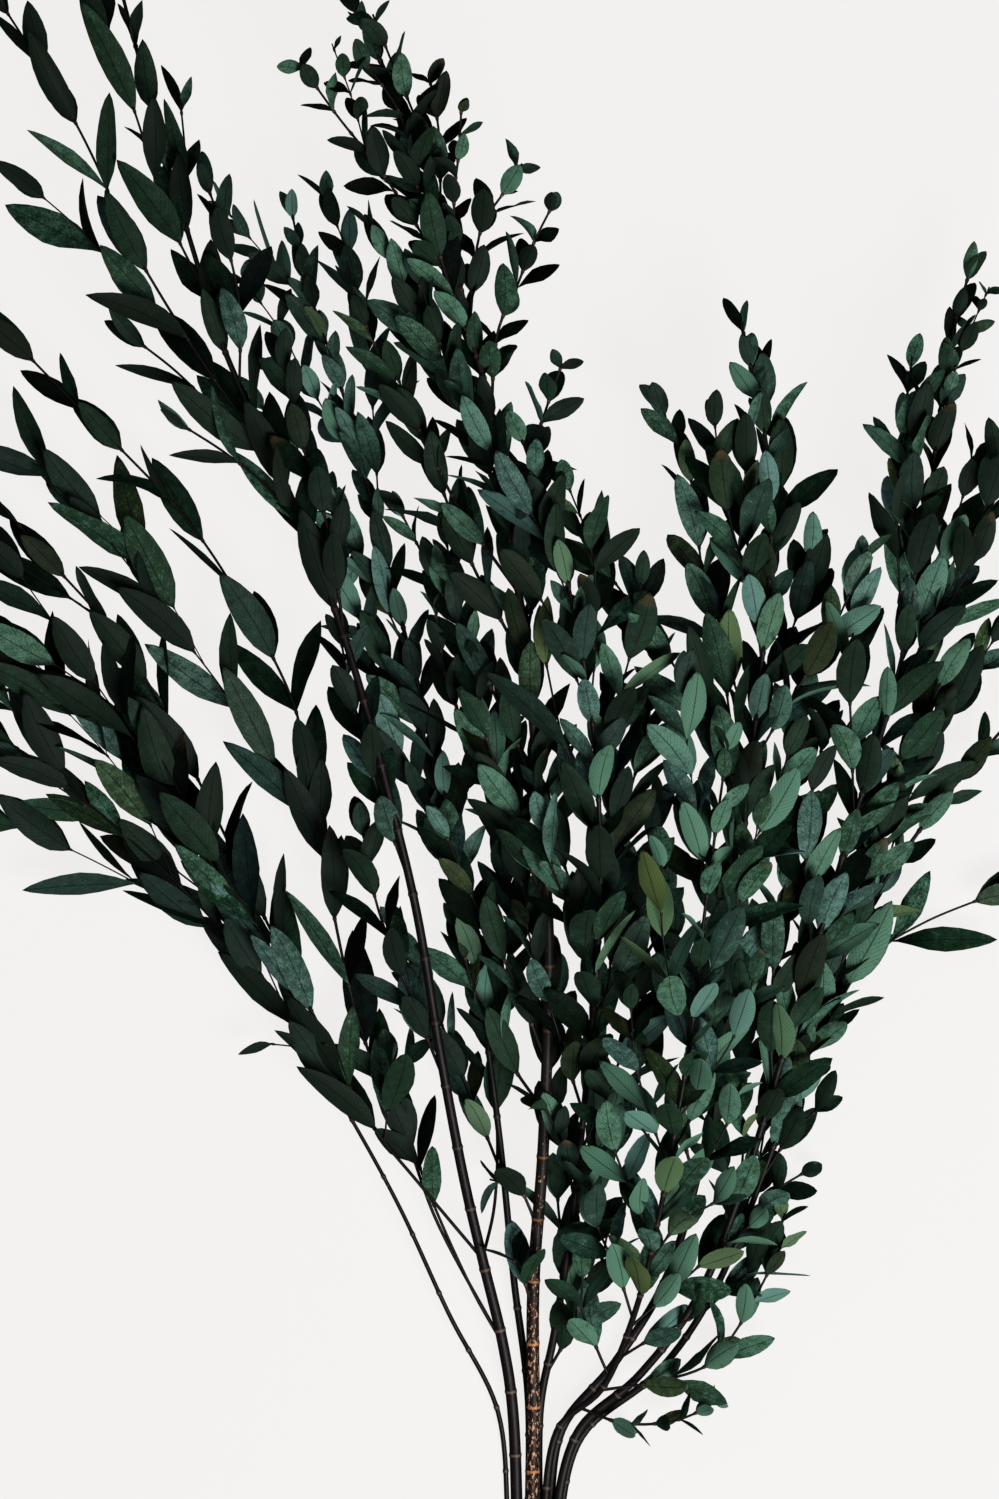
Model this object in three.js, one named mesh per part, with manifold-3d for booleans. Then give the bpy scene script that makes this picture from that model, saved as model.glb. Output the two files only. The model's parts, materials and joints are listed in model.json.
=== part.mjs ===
// A bunch of nine cut stems of preserved small-leaved eucalyptus, gathered at one point and laid on a flat
// surface. Millimetres, +Z up. The origin is on the surface, under the stem that lies straight through the
// gathering point. +Y runs from the gathering point to the leafy tips, and the cut ends lie at -Y.
import * as THREE from "three";
import Module from "manifold-3d";

const wasm = await Module();
wasm.setup();

// Where the stems are gathered: they lie straight from their cut ends to the place where they fan out.
const STEM_GAP = 0.3;
const CUT_END = -96;
const FAN_START = -32;
const STRAIGHT_POINTS = 3;

// Wood: a main stem tapers from its own radius to this share of it, a twig from root to tip
const MAIN_TIP_SHARE = 0.28;
const TWIG_ROOT_RADIUS = 1.05;
const TWIG_TIP_RADIUS = 0.65;
const TWIG_ROOT_SHARE = 0.62;
const MAIN_SIDES = 6;
const TWIG_SIDES = 4;
const BEND_TOLERANCE = 2.8;
const CURVE_SAMPLES = 12;

// What bends twigs of different stems clear of each other
const TWIG_CLEARANCE = 0.9;
const LIFT_STEP = 3;
const MOST_LIFT_STEPS = 14;
const LOWEST_TWIG = 7;

// Leaves: opposite pairs, each pair turned a quarter from the one below
const BARE_TWIG = 13;
const BARE_SHARE = 0.17;
const WAND_BARE_SHARE = 0.5;
const BUD = 2.6;
const TIP_LEAF_SHARE = 0.52;
const TIP_SHRINKS_FROM = 0.6;
const SPREAD_VARIES = 20;
const SPACING_VARIES = 0.5;
const FALLEN_SHARE = 0.05;
const LENGTH_FROM = 0.76;
const LENGTH_VARIES = 0.44;
const WIDTH_FROM = 0.84;
const WIDTH_VARIES = 0.3;
const LEAF_FLOOR = 0.25;
const LEVELLING = 0.06;
const TWISTED_BY = 0.45;
const FOLD = 0.1;
const DROOP = 0.07;
const BLADE_THICKNESS = 0.7;

// What the solids hold of the leaves: their pairs, the band of wood that opens into them, and their clearance
const SOLID_PAIR_EVERY = 6;
const BAND_HALF = 0.8;
const TEST_THICKNESS = 1.4;
const OWN_TEST_THICKNESS = 0.8;
const CLEAR_OF_WOOD = 0.8;

// Half of a blade's outline, as shares of its length and half width
const LONG_SIDE = [
  [0.2, 0.74],
  [0.48, 1.0],
  [0.78, 0.62],
];
const SHORT_SIDE = [
  [0.3, 0.94],
  [0.68, 0.82],
];

// Kinds of leaf in this bunch: length, width, angle from the twig in degrees, the share of that angle left at
// the twig's tip, and distance to the next pair
const LANCE = { length: 41, width: 11.5, spread: 21, tipSpread: 0.45, spacing: 26, side: LONG_SIDE };
const SLIM = { length: 31, width: 6.5, spread: 22, tipSpread: 0.6, spacing: 20, side: SHORT_SIDE };
const OVAL = { length: 29, width: 10.2, spread: 28, tipSpread: 0.55, spacing: 14, side: SHORT_SIDE };
const NARROW = { length: 27, width: 8.7, spread: 25, tipSpread: 0.55, spacing: 12, side: SHORT_SIDE };
const BROAD = { length: 25, width: 9.6, spread: 37, tipSpread: 0.8, spacing: 12, side: SHORT_SIDE };
const SMALL = { length: 20, width: 8.5, spread: 38, tipSpread: 1.1, spacing: 10.5, side: SHORT_SIDE };
const TINY = { length: 13, width: 5.6, spread: 42, tipSpread: 1.2, spacing: 8, side: SHORT_SIDE };

// One twig: the limb that it grows from, the height up the bunch of its root, how far it rises above that
// root, its leaves, and the points that it passes.
const twig = (parent, rootY, rise, leaf, ...points) => {
  return { parent, rootY, rise, leaf, points, bare: BARE_SHARE };
};

// A twig that bears leaves only on its upper part
const wand = (...row) => ({ ...twig(...row), bare: WAND_BARE_SHARE });

// One cut stem: the radius at its cut end, its own leaves, where they start, its route and its twigs.
const cutStem = (name, radius, leaf, leafyFrom, route, twigs) => {
  return { name, radius, leaf, leafyFrom, route, twigs };
};

// The height of a stem's centre where its flat side lies on the surface
const lyingHeight = (r) => r * Math.cos(Math.PI / MAIN_SIDES);

// A stem of radius r that lies on the surface to one side of another, clear by the gap.
const besideOnSurface = (other, r, side) => ({
  x: other.x + side * (2 * Math.sqrt(other.r * r) + STEM_GAP),
  z: lyingHeight(r),
  r,
});

// A stem of radius r that lies in the valley above two others, clear of both by the gap.
function inValley(a, b, r) {
  const fromA = a.r + r + STEM_GAP;
  const fromB = b.r + r + STEM_GAP;
  const span = Math.hypot(b.x - a.x, b.z - a.z);
  const along = (fromA * fromA - fromB * fromB + span * span) / (2 * span);
  const up = Math.sqrt(fromA * fromA - along * along);
  const ux = (b.x - a.x) / span;
  const uz = (b.z - a.z) / span;
  return { x: a.x + ux * along - uz * up, z: a.z + uz * along + ux * up, r };
}

// The bundle where the stems are gathered: six on the surface, three in the valleys above them
const straight = { x: 0, z: lyingHeight(1.8), r: 1.8 };
const leftMain = besideOnSurface(straight, 2.8, -1);
const leftLow = besideOnSurface(leftMain, 1.2, -1);
const frontRight = besideOnSurface(straight, 2.1, 1);
const rightCentre = besideOnSurface(frontRight, 2.3, 1);
const rightLow = besideOnSurface(rightCentre, 2.0, 1);
const centre = inValley(straight, frontRight, 3.3);
const rightFront = inValley(centre, rightCentre, 1.8);
const rightMain = inValley(rightCentre, rightLow, 2.2);

// A stem's straight stretch through the bundle, from its cut end to where it leaves the others
const bundled = (at, cutEnd = CUT_END, fanStart = FAN_START) => [
  [at.x, cutEnd, at.z],
  [at.x, (cutEnd + fanStart) / 2, at.z],
  [at.x, fanStart, at.z],
];

const STEMS = [
  cutStem("straight_stem", straight.r, NARROW, 170, [
    ...bundled(straight, CUT_END, 14), [-6, 64, 7], [-12, 124, 13], [-20, 184, 18], [-30, 244, 20],
    [-42, 296, 22], [-54, 344, 22], [-66, 392, 24], [-78, 436, 26], [-90, 472, 28], [-97, 504, 28],
  ], [
    twig("main", 372, 4, NARROW, [-64, 425], [-67, 456], [-74, 486], [-84, 512]),
    twig("main", 396, -6, SMALL, [-88, 430], [-102, 456], [-118, 478]),
    twig("main", 436, -4, NARROW, [-92, 466], [-106, 484], [-124, 505]),
    twig("main", 318, -8, NARROW, [-68, 362], [-90, 396], [-112, 428]),
    twig("main", 276, -6, NARROW, [-58, 316], [-74, 348], [-82, 386]),
    twig("main", 214, -4, NARROW, [-42, 258], [-58, 296], [-66, 330]),
    twig("main", 150, 6, NARROW, [-8, 196], [-10, 245], [-16, 292]),
    twig("main", 246, 6, NARROW, [-22, 288], [-26, 330], [-34, 370]),
    twig("main", 106, -2, NARROW, [-26, 146], [-40, 180], [-52, 208]),
  ]),
  cutStem("left_stem", leftMain.r, LANCE, 340, [
    ...bundled(leftMain, CUT_END - 8), [-6.5, 10, 4.5], [-11, 40, 9], [-19, 74, 16], [-27, 110, 24],
    [-36, 160, 36], [-45, 216, 46], [-56, 264, 54], [-70, 316, 60], [-88, 368, 62], [-107, 410, 60],
    [-123, 446, 56], [-135, 484, 52], [-147, 524, 47], [-157, 560, 43], [-167, 598, 40],
  ], [
    twig("main", 38, 16, LANCE, [-37, 87], [-51, 125], [-69, 168], [-80, 215], [-88, 262], [-97, 304],
      [-118, 345], [-140, 378], [-170, 410], [-198, 438], [-222, 464], [-240, 488]),
    twig("main", 74, 6, LANCE, [-44, 104], [-66, 132], [-88, 174], [-112, 222], [-134, 268], [-152, 304],
      [-172, 334], [-197, 362], [-221, 390], [-243, 416]),
    twig("0", 196, 8, LANCE, [-86, 244], [-100, 270], [-114, 291], [-128, 312], [-148, 338], [-166, 362],
      [-190, 390]),
    twig("2", 318, -6, LANCE, [-154, 356], [-176, 380], [-202, 400], [-228, 414], [-250, 424]),
    twig("1", 336, 4, LANCE, [-194, 350], [-217, 364], [-240, 376]),
    twig("main", 398, 6, LANCE, [-126, 432], [-144, 460], [-160, 488], [-174, 520], [-188, 546], [-211, 582]),
    twig("5", 450, -6, LANCE, [-166, 478], [-183, 495], [-198, 508]),
    twig("main", 466, 8, LANCE, [-146, 500], [-155, 530], [-165, 560], [-178, 596]),
    twig("main", 500, -6, SLIM, [-139, 522], [-141, 546]),
    twig("main", 394, -8, LANCE, [-124, 418], [-142, 436], [-160, 450]),
    twig("main", 366, 4, SLIM, [-104, 388], [-121, 402], [-138, 413]),
    twig("main", 430, 8, OVAL, [-116, 462], [-122, 490], [-129, 510]),
    twig("main", 328, 10, OVAL, [-80, 370], [-90, 404], [-98, 438]),
    twig("main", 228, 8, OVAL, [-60, 264], [-70, 298], [-76, 330]),
    twig("main", 148, 8, OVAL, [-50, 188], [-62, 222], [-68, 254]),
    twig("1", 122, 6, OVAL, [-57, 140], [-50, 156]),
    twig("1", 170, -8, LANCE, [-110, 206], [-140, 230], [-170, 252], [-200, 272], [-228, 288]),
    twig("1", 262, 8, LANCE, [-156, 290], [-184, 312], [-212, 330], [-240, 346]),
    wand("main", 74, -8, OVAL, [-14, 96], [-13, 126], [-16, 158], [-20, 190]),
    wand("main", 38, 3, OVAL, [-24, 62], [-40, 98], [-50, 128], [-57, 158]),
  ]),
  cutStem("left_low_stem", leftLow.r, LANCE, 142, [
    ...bundled(leftLow, CUT_END + 12), [-13, 10, 2.4], [-33, 50, 6], [-54, 96, 10], [-78, 140, 14],
    [-102, 180, 16], [-130, 214, 18], [-163, 246, 18], [-198, 275, 17], [-232, 300, 15], [-256, 316, 14],
  ], [
    twig("main", 192, -4, LANCE, [-140, 216], [-164, 230], [-192, 244], [-222, 256], [-246, 264]),
    twig("main", 208, 4, LANCE, [-140, 244], [-164, 276], [-192, 308], [-220, 338], [-240, 358]),
    twig("main", 178, 8, LANCE, [-116, 212], [-138, 250], [-164, 292], [-194, 336], [-222, 376], [-238, 398]),
    twig("main", 156, 12, LANCE, [-100, 192], [-120, 226], [-140, 262], [-156, 292]),
    twig("main", 230, 8, LANCE, [-162, 266], [-184, 294], [-212, 320], [-238, 340]),
    twig("main", 134, 2, SLIM, [-88, 158], [-108, 163]),
    twig("main", 262, 6, LANCE, [-206, 294], [-226, 312], [-244, 330]),
  ]),
  cutStem("front_right_stem", frontRight.r, OVAL, 150, [
    ...bundled(frontRight, CUT_END + 4), [4.8, 10, 2.6], [11, 44, 9], [18, 94, 24], [24, 160, 50],
    [28, 224, 72], [26, 280, 84], [20, 324, 90], [12, 360, 92], [3, 388, 90], [-4, 408, 88],
  ], [
    twig("main", 300, 4, BROAD, [26, 332], [24, 362], [14, 390]),
    twig("main", 272, 2, OVAL, [36, 308], [42, 332], [44, 352]),
    twig("main", 228, -8, OVAL, [38, 260], [46, 290], [51, 320]),
    twig("main", 176, -6, OVAL, [42, 205], [46, 235], [52, 264]),
    twig("main", 118, 4, OVAL, [32, 146], [42, 172], [48, 202]),
    twig("main", 236, 6, LANCE, [20, 268], [12, 292], [6, 320]),
    twig("main", 186, 8, OVAL, [18, 214], [8, 240], [2, 270]),
    twig("main", 136, 10, OVAL, [14, 162], [6, 188], [-2, 216]),
    twig("main", 296, 4, OVAL, [10, 332], [-4, 358], [-14, 386]),
    twig("main", 84, 8, OVAL, [26, 112], [34, 140]),
    twig("main", 336, 4, OVAL, [4, 370], [-12, 394], [-24, 418]),
    twig("main", 206, 10, OVAL, [32, 240], [33, 272], [32, 304]),
    twig("main", 100, 12, SMALL, [14, 122], [6, 140]),
    twig("main", 24, 6, BROAD, [18, 44], [28, 64], [33, 86]),
    twig("main", 52, 4, OVAL, [14, 76], [12, 100], [14, 122]),
    twig("main", 66, 8, BROAD, [26, 90], [30, 112], [32, 134]),
    twig("main", 154, 4, OVAL, [30, 182], [34, 208], [36, 236]),
    twig("main", 194, -6, OVAL, [18, 226], [10, 252], [12, 282]),
    twig("main", 108, -4, OVAL, [10, 134], [8, 158], [12, 186]),
  ]),
  cutStem("right_centre_stem", rightCentre.r, OVAL, 150, [
    ...bundled(rightCentre, CUT_END - 2), [14, 2, 2.6], [36, 30, 6], [57, 66, 12], [70, 112, 22],
    [78, 160, 32], [84, 212, 40], [88, 264, 46], [93, 312, 50], [97, 360, 54], [96, 400, 56], [90, 432, 56],
    [85, 456, 54],
  ], [
    twig("main", 288, -6, OVAL, [78, 326], [70, 358], [66, 392], [54, 422]),
    twig("main", 336, 8, OVAL, [84, 364], [77, 392], [74, 416]),
    twig("main", 250, 42, LANCE, [80, 276], [66, 304], [48, 330], [32, 352], [18, 371]),
    twig("main", 298, -8, OVAL, [104, 326], [111, 346], [115, 366]),
    twig("main", 276, 8, OVAL, [104, 302], [122, 332], [134, 360]),
    twig("main", 226, -6, OVAL, [98, 252], [108, 280], [112, 312]),
    twig("main", 196, 8, OVAL, [74, 228], [64, 256], [60, 286]),
    twig("main", 146, 8, OVAL, [68, 178], [58, 204], [54, 234]),
    twig("main", 106, 8, OVAL, [60, 134], [50, 158], [46, 184]),
    twig("main", 348, -4, OVAL, [102, 382], [98, 412], [94, 438]),
    twig("main", 166, -8, OVAL, [94, 190], [104, 214], [110, 244]),
    twig("main", 318, 10, OVAL, [90, 350], [86, 380], [88, 412]),
    twig("main", 236, 12, LANCE, [86, 272], [80, 302], [78, 336]),
    twig("main", 122, -6, OVAL, [84, 144], [90, 168], [88, 196]),
  ]),
  cutStem("right_low_stem", rightLow.r, OVAL, 120, [
    ...bundled(rightLow, CUT_END + 8), [23, 0, 2.2], [54, 26, 5], [77, 60, 8], [96, 106, 12], [111, 150, 16],
    [125, 188, 18], [143, 224, 18], [164, 255, 18], [186, 282, 18], [207, 306, 16], [222, 328, 16],
  ], [
    twig("main", 226, 4, OVAL, [156, 264], [170, 292], [184, 318], [198, 340]),
    twig("main", 172, -4, LANCE, [140, 198], [162, 212], [186, 222], [214, 232]),
    twig("main", 106, 6, OVAL, [107, 124], [120, 137]),
    twig("main", 84, 2, SMALL, [100, 100], [115, 110]),
    twig("main", 148, -2, OVAL, [120, 166], [132, 186], [142, 206]),
    twig("main", 62, -2, BROAD, [86, 84], [94, 106], [98, 128]),
    twig("main", 196, 10, OVAL, [140, 232], [146, 264], [160, 290]),
    twig("main", 50, 6, BROAD, [84, 62], [97, 74], [106, 92]),
    twig("main", 132, 8, OVAL, [112, 172], [116, 200], [124, 228]),
  ]),
  cutStem("right_stem", rightMain.r, OVAL, 130, [
    ...bundled(rightMain), [21, 2, 7], [46, 26, 13], [70, 60, 20], [88, 108, 30], [102, 156, 38],
    [116, 204, 44], [130, 252, 46], [144, 296, 46], [155, 340, 44], [162, 384, 42], [167, 424, 40],
    [173, 456, 38], [179, 478, 36],
  ], [
    twig("main", 326, 8, OVAL, [149, 358], [148, 390], [151, 418], [154, 442]),
    twig("main", 416, -2, TINY, [175, 444], [187, 472]),
    twig("main", 306, 6, OVAL, [164, 336], [176, 362], [186, 388], [196, 416]),
    twig("main", 256, 8, OVAL, [130, 288], [129, 320], [134, 352]),
    twig("main", 236, -8, OVAL, [142, 264], [158, 292], [174, 324]),
    twig("main", 196, 8, OVAL, [112, 228], [112, 256], [118, 286]),
    twig("main", 146, 8, OVAL, [98, 176], [100, 204], [104, 232]),
    twig("main", 186, -8, OVAL, [126, 216], [140, 238], [150, 266]),
    twig("main", 118, -8, OVAL, [100, 140], [112, 164], [122, 192]),
    twig("main", 86, 6, OVAL, [86, 106], [88, 128]),
    twig("main", 336, 12, OVAL, [156, 366], [153, 396], [157, 424]),
    twig("main", 276, 4, LANCE, [150, 310], [166, 336], [180, 362]),
    twig("main", 318, -4, OVAL, [164, 348], [172, 374], [180, 400]),
    twig("main", 98, 6, OVAL, [76, 124], [74, 148], [76, 176]),
  ]),
  cutStem("centre_stem", centre.r, NARROW, 250, [
    ...bundled(centre, CUT_END - 14), [2, 8, 8], [2, 64, 16], [6, 124, 30], [8, 204, 48], [4, 264, 60],
    [-2, 328, 70], [-10, 384, 74], [-17, 424, 76], [-27, 464, 76], [-39, 508, 74], [-54, 546, 70],
    [-70, 580, 66],
  ], [
    twig("main", 458, 6, SMALL, [-44, 490], [-60, 514], [-76, 534], [-91, 555]),
    twig("main", 470, 6, TINY, [-30, 500], [-28, 520], [-27, 538]),
    twig("main", 452, -6, SMALL, [-20, 488], [-10, 506], [-3, 517]),
    twig("main", 416, -4, SMALL, [-13, 448], [-5, 468], [2, 486], [9, 500]),
    twig("main", 366, -6, SMALL, [-1, 396], [6, 418], [13, 438]),
    twig("main", 398, 4, NARROW, [-36, 438], [-50, 466], [-62, 490]),
    twig("main", 376, 8, NARROW, [-26, 418], [-36, 446], [-44, 470]),
    twig("main", 316, -8, NARROW, [-22, 356], [-38, 396], [-54, 436]),
    twig("main", 266, -6, NARROW, [-14, 306], [-34, 345], [-52, 380]),
    twig("main", 326, 6, NARROW, [4, 360], [6, 392]),
    twig("main", 216, 6, NARROW, [-6, 256], [-18, 292], [-24, 330]),
    twig("main", 156, 4, NARROW, [-6, 190], [-22, 222], [-34, 250]),
    twig("main", 88, 4, SMALL, [-4, 104], [-16, 108]),
    twig("main", 480, 8, SMALL, [-44, 512], [-52, 536], [-66, 556]),
    twig("main", 436, 8, NARROW, [-32, 468], [-40, 494], [-50, 520]),
    twig("main", 186, -8, NARROW, [-2, 226], [-10, 262], [-8, 300]),
    twig("main", 496, -6, SMALL, [-36, 528], [-40, 552]),
    twig("main", 346, -12, NARROW, [-28, 380], [-44, 412], [-62, 446], [-72, 470]),
    twig("main", 136, -10, NARROW, [-10, 160], [-24, 190], [-30, 224]),
    twig("0", 520, 4, TINY, [-70, 540], [-78, 562]),
    twig("main", 506, 8, SMALL, [-44, 530], [-54, 554], [-62, 574]),
    twig("main", 52, 6, BROAD, [-2, 66], [-7, 76]),
    twig("main", 240, -6, NARROW, [-16, 276], [-32, 308], [-38, 340]),
  ]),
  cutStem("right_front_stem", rightFront.r, BROAD, 60, [
    ...bundled(rightFront, CUT_END + 6), [12, 2, 8], [31, 22, 17], [44, 58, 36], [52, 96, 54], [58, 132, 66],
    [64, 172, 76], [68, 212, 82], [73, 252, 86], [78, 288, 88],
  ], [
    twig("main", 20, -4, BROAD, [54, 24], [74, 31], [86, 46], [95, 62], [104, 80]),
    twig("main", 12, 4, TINY, [40, 6], [62, 8], [80, 17]),
    twig("main", 48, -8, BROAD, [62, 66], [76, 78], [92, 90]),
    twig("main", 34, 4, BROAD, [52, 44], [68, 52]),
    twig("main", 52, 10, BROAD, [36, 72], [28, 90], [24, 108]),
    twig("main", 26, 6, BROAD, [28, 38], [22, 54], [22, 70]),
    twig("main", 98, 8, BROAD, [64, 112], [76, 128], [84, 148]),
    twig("main", 136, 6, BROAD, [70, 152], [82, 172], [90, 196]),
    twig("main", 116, 8, BROAD, [48, 138], [42, 160], [40, 186]),
    twig("main", 166, 10, OVAL, [56, 190], [52, 214], [52, 240]),
    twig("main", 186, 8, OVAL, [76, 206], [84, 228], [90, 256]),
    twig("main", 226, 8, OVAL, [66, 256], [62, 282], [60, 308]),
    twig("main", 76, 4, BROAD, [60, 92], [76, 102]),
    twig("main", 210, 4, OVAL, [80, 236], [94, 258], [102, 284]),
    twig("main", 122, -6, OVAL, [68, 144], [74, 166], [74, 192]),
    twig("main", 84, 8, BROAD, [42, 104], [34, 124], [30, 148]),
  ]),
];

// A number from 0 to 1 that depends only on the keys, so each leaf keeps its own shape
function draw(...keys) {
  let h = 2166136261;
  for (const key of keys) {
    h = Math.imul(h ^ key, 16777619);
    h ^= h >>> 13;
    h = Math.imul(h, 0x5bd1e995);
    h ^= h >>> 15;
  }
  return (h >>> 0) / 4294967296;
}

const add = (a, b, k = 1) => [a[0] + k * b[0], a[1] + k * b[1], a[2] + k * b[2]];
const sub = (a, b) => add(a, b, -1);
const dot = (a, b) => a[0] * b[0] + a[1] * b[1] + a[2] * b[2];
const cross = (a, b) => [a[1] * b[2] - a[2] * b[1], a[2] * b[0] - a[0] * b[2], a[0] * b[1] - a[1] * b[0]];
const size = (a) => Math.sqrt(dot(a, a));
const unit = (a) => a.map((x) => x / size(a));
const mix = (a, b, t) => a.map((x, i) => x + (b[i] - x) * t);
const clamp = (x, low, high) => Math.min(high, Math.max(low, x));
const radians = (degrees) => (degrees * Math.PI) / 180;

// A limb's centreline: a smooth curve through its points, the first of which may lie straight. Its knots are
// the few samples that keep its bends.
class Centreline {
  constructor(points, straightPoints = 1) {
    const passed = points.map((p) => new THREE.Vector3(...p));
    const curve = new THREE.CatmullRomCurve3(passed, false, "catmullrom", 0.5);
    const n = (points.length - 1) * CURVE_SAMPLES;
    this.samples = Array.from({ length: n + 1 }, (_, i) => curve.getPoint(i / n).toArray());
    this.distances = [0];
    for (let i = 1; i <= n; i++)
      this.distances.push(this.distances[i - 1] + size(sub(this.samples[i], this.samples[i - 1])));
    this.length = this.distances[n];
    const bent = (straightPoints - 1) * CURVE_SAMPLES;
    const kept = [...new Set([0, bent, ...this.bends(bent, n), n])];
    this.knots = kept.map((i) => ({ distance: this.distances[i], point: this.samples[i] }));
    this.straightTo = this.distances[bent];
  }

  // The samples between two others that lie too far from the straight line, the farthest first found
  bends(first, last) {
    const start = this.samples[first];
    const chord = unit(sub(this.samples[last], start));
    let farthest = -1;
    let most = BEND_TOLERANCE;
    for (let i = first + 1; i < last; i++) {
      const away = size(cross(sub(this.samples[i], start), chord));
      if (away > most) [most, farthest] = [away, i];
    }
    if (farthest < 0) return [];
    return [...this.bends(first, farthest), farthest, ...this.bends(farthest, last)];
  }

  // The direction of the smooth curve at a distance from the root
  directionAt(distance) {
    if (distance <= this.straightTo && this.straightTo > 0)
      return unit(sub(this.knots[1].point, this.knots[0].point));
    let i = 1;
    while (i < this.samples.length - 1 && this.distances[i] < distance) i++;
    return unit(sub(this.samples[i], this.samples[i - 1]));
  }

  // The point on the straight pieces between knots at a distance from the root
  pointAt(distance) {
    let i = 1;
    while (i < this.knots.length - 1 && this.knots[i].distance < distance) i++;
    const [a, b] = [this.knots[i - 1], this.knots[i]];
    return mix(a.point, b.point, (distance - a.distance) / (b.distance - a.distance));
  }

  // The distance along at which the line first reaches a height up the bunch
  distanceAtY(y) {
    let i = 1;
    while (i < this.samples.length - 1 && this.samples[i][1] < y) i++;
    const [a, b] = [this.samples[i - 1][1], this.samples[i][1]];
    const share = clamp((y - a) / (b - a), 0, 1);
    return this.distances[i - 1] + (this.distances[i] - this.distances[i - 1]) * share;
  }
}

// The least distance between two straight pieces
function pieceDistance(p, q, r, s) {
  const d1 = sub(q, p);
  const d2 = sub(s, r);
  const w = sub(p, r);
  const a = dot(d1, d1);
  const e = dot(d2, d2);
  const f = dot(d2, w);
  const b = dot(d1, d2);
  const c = dot(d1, w);
  const bottom = a * e - b * b;
  let t = bottom > 1e-9 ? clamp((b * f - c * e) / bottom, 0, 1) : 0;
  let u = (b * t + f) / e;
  if (u < 0 || u > 1) {
    u = clamp(u, 0, 1);
    t = clamp((b * u - c) / a, 0, 1);
  }
  return size(sub(add(p, d1, t), add(r, d2, u)));
}

// A limb's radius: whole along its straight stretch, then tapering to its tip
function radiusAt(limb, distance) {
  const { straightTo, length } = limb.line;
  const share = Math.max(0, distance - straightTo) / (length - straightTo);
  return limb.rootRadius + (limb.tipRadius - limb.rootRadius) * share;
}

// True where a limb keeps clear of every limb of the other stems
function isClear(limb, others) {
  const knots = limb.line.knots;
  return others.every((other) => {
    if (other.stem === limb.stem) return true;
    const theirs = other.line.knots;
    for (let i = 1; i < knots.length; i++)
      for (let j = 1; j < theirs.length; j++) {
        const reach =
          radiusAt(limb, knots[i - 1].distance) + radiusAt(other, theirs[j - 1].distance) + TWIG_CLEARANCE;
        const gap = pieceDistance(knots[i - 1].point, knots[i].point, theirs[j - 1].point, theirs[j].point);
        if (gap < reach) return false;
      }
    return true;
  });
}

// A twig at a lift: its points share the rise and the lift by how far along the twig they are.
function twigAtLift(stem, index, row, parent, lift) {
  const from = parent.line.distanceAtY(row.rootY);
  const root = parent.line.pointAt(from);
  const points = [root];
  row.points.forEach(([x, y], i) => {
    const share = Math.min(1, (1.6 * (i + 1)) / row.points.length);
    points.push([x, y, Math.max(LOWEST_TWIG, root[2] + (row.rise + lift) * share)]);
  });
  const rootRadius = Math.min(TWIG_ROOT_RADIUS, TWIG_ROOT_SHARE * radiusAt(parent, from));
  const tipRadius = Math.min(TWIG_TIP_RADIUS, 0.8 * rootRadius);
  const line = new Centreline(points);
  const leafyFrom = Math.max(BARE_TWIG, row.bare * line.length);
  return { stem, index, line, leaf: row.leaf, leafyFrom, sides: TWIG_SIDES, rootRadius, tipRadius };
}

// A stem's main limb, straight from its row
function mainLimb(row, stem) {
  const line = new Centreline(row.route, STRAIGHT_POINTS);
  const leafyFrom = line.distanceAtY(row.leafyFrom);
  const radii = { rootRadius: row.radius, tipRadius: row.radius * MAIN_TIP_SHARE };
  return { stem, index: 0, line, leaf: row.leaf, leafyFrom, sides: MAIN_SIDES, ...radii };
}

// Every limb of every stem: the main limbs as they are, then each twig at the least lift that clears the
// other stems.
function growLimbs() {
  const grown = STEMS.map(mainLimb);
  STEMS.forEach((stem, s) => {
    const twigs = [];
    stem.twigs.forEach((row, t) => {
      const parent = row.parent === "main" ? grown[s] : twigs[Number(row.parent)];
      let made = null;
      for (let step = 0; step <= 2 * MOST_LIFT_STEPS && !made; step++) {
        const lift = LIFT_STEP * Math.ceil(step / 2) * (step % 2 ? 1 : -1);
        const tried = twigAtLift(s, t + 1, row, parent, lift);
        if (isClear(tried, grown)) made = tried;
      }
      if (!made) throw new Error(stem.name + " twig " + t + " finds no clear height");
      twigs.push(made);
      grown.push(made);
    });
  });
  return grown;
}

// How many leaf pairs a limb bears, and how far along it each one sits
const leafyLength = (limb) => limb.line.length - BUD - limb.leafyFrom;
const pairCount = (limb) => Math.max(2, Math.floor(leafyLength(limb) / limb.leaf.spacing) + 1);

function pairDistance(limb, pair) {
  const strayed = (draw(limb.stem, limb.index, pair) - 0.5) * SPACING_VARIES * limb.leaf.spacing;
  const along = (leafyLength(limb) * pair) / (pairCount(limb) - 1) + strayed;
  return limb.leafyFrom + clamp(along, 0, leafyLength(limb));
}

// The direction towards an angle round a limb, measured from straight up
function outwardAt(direction, angle) {
  const sideways = unit(cross(direction, [0, 0, 1]));
  const upwards = cross(sideways, direction);
  return add(upwards.map((x) => x * Math.cos(angle)), sideways, Math.sin(angle));
}

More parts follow.
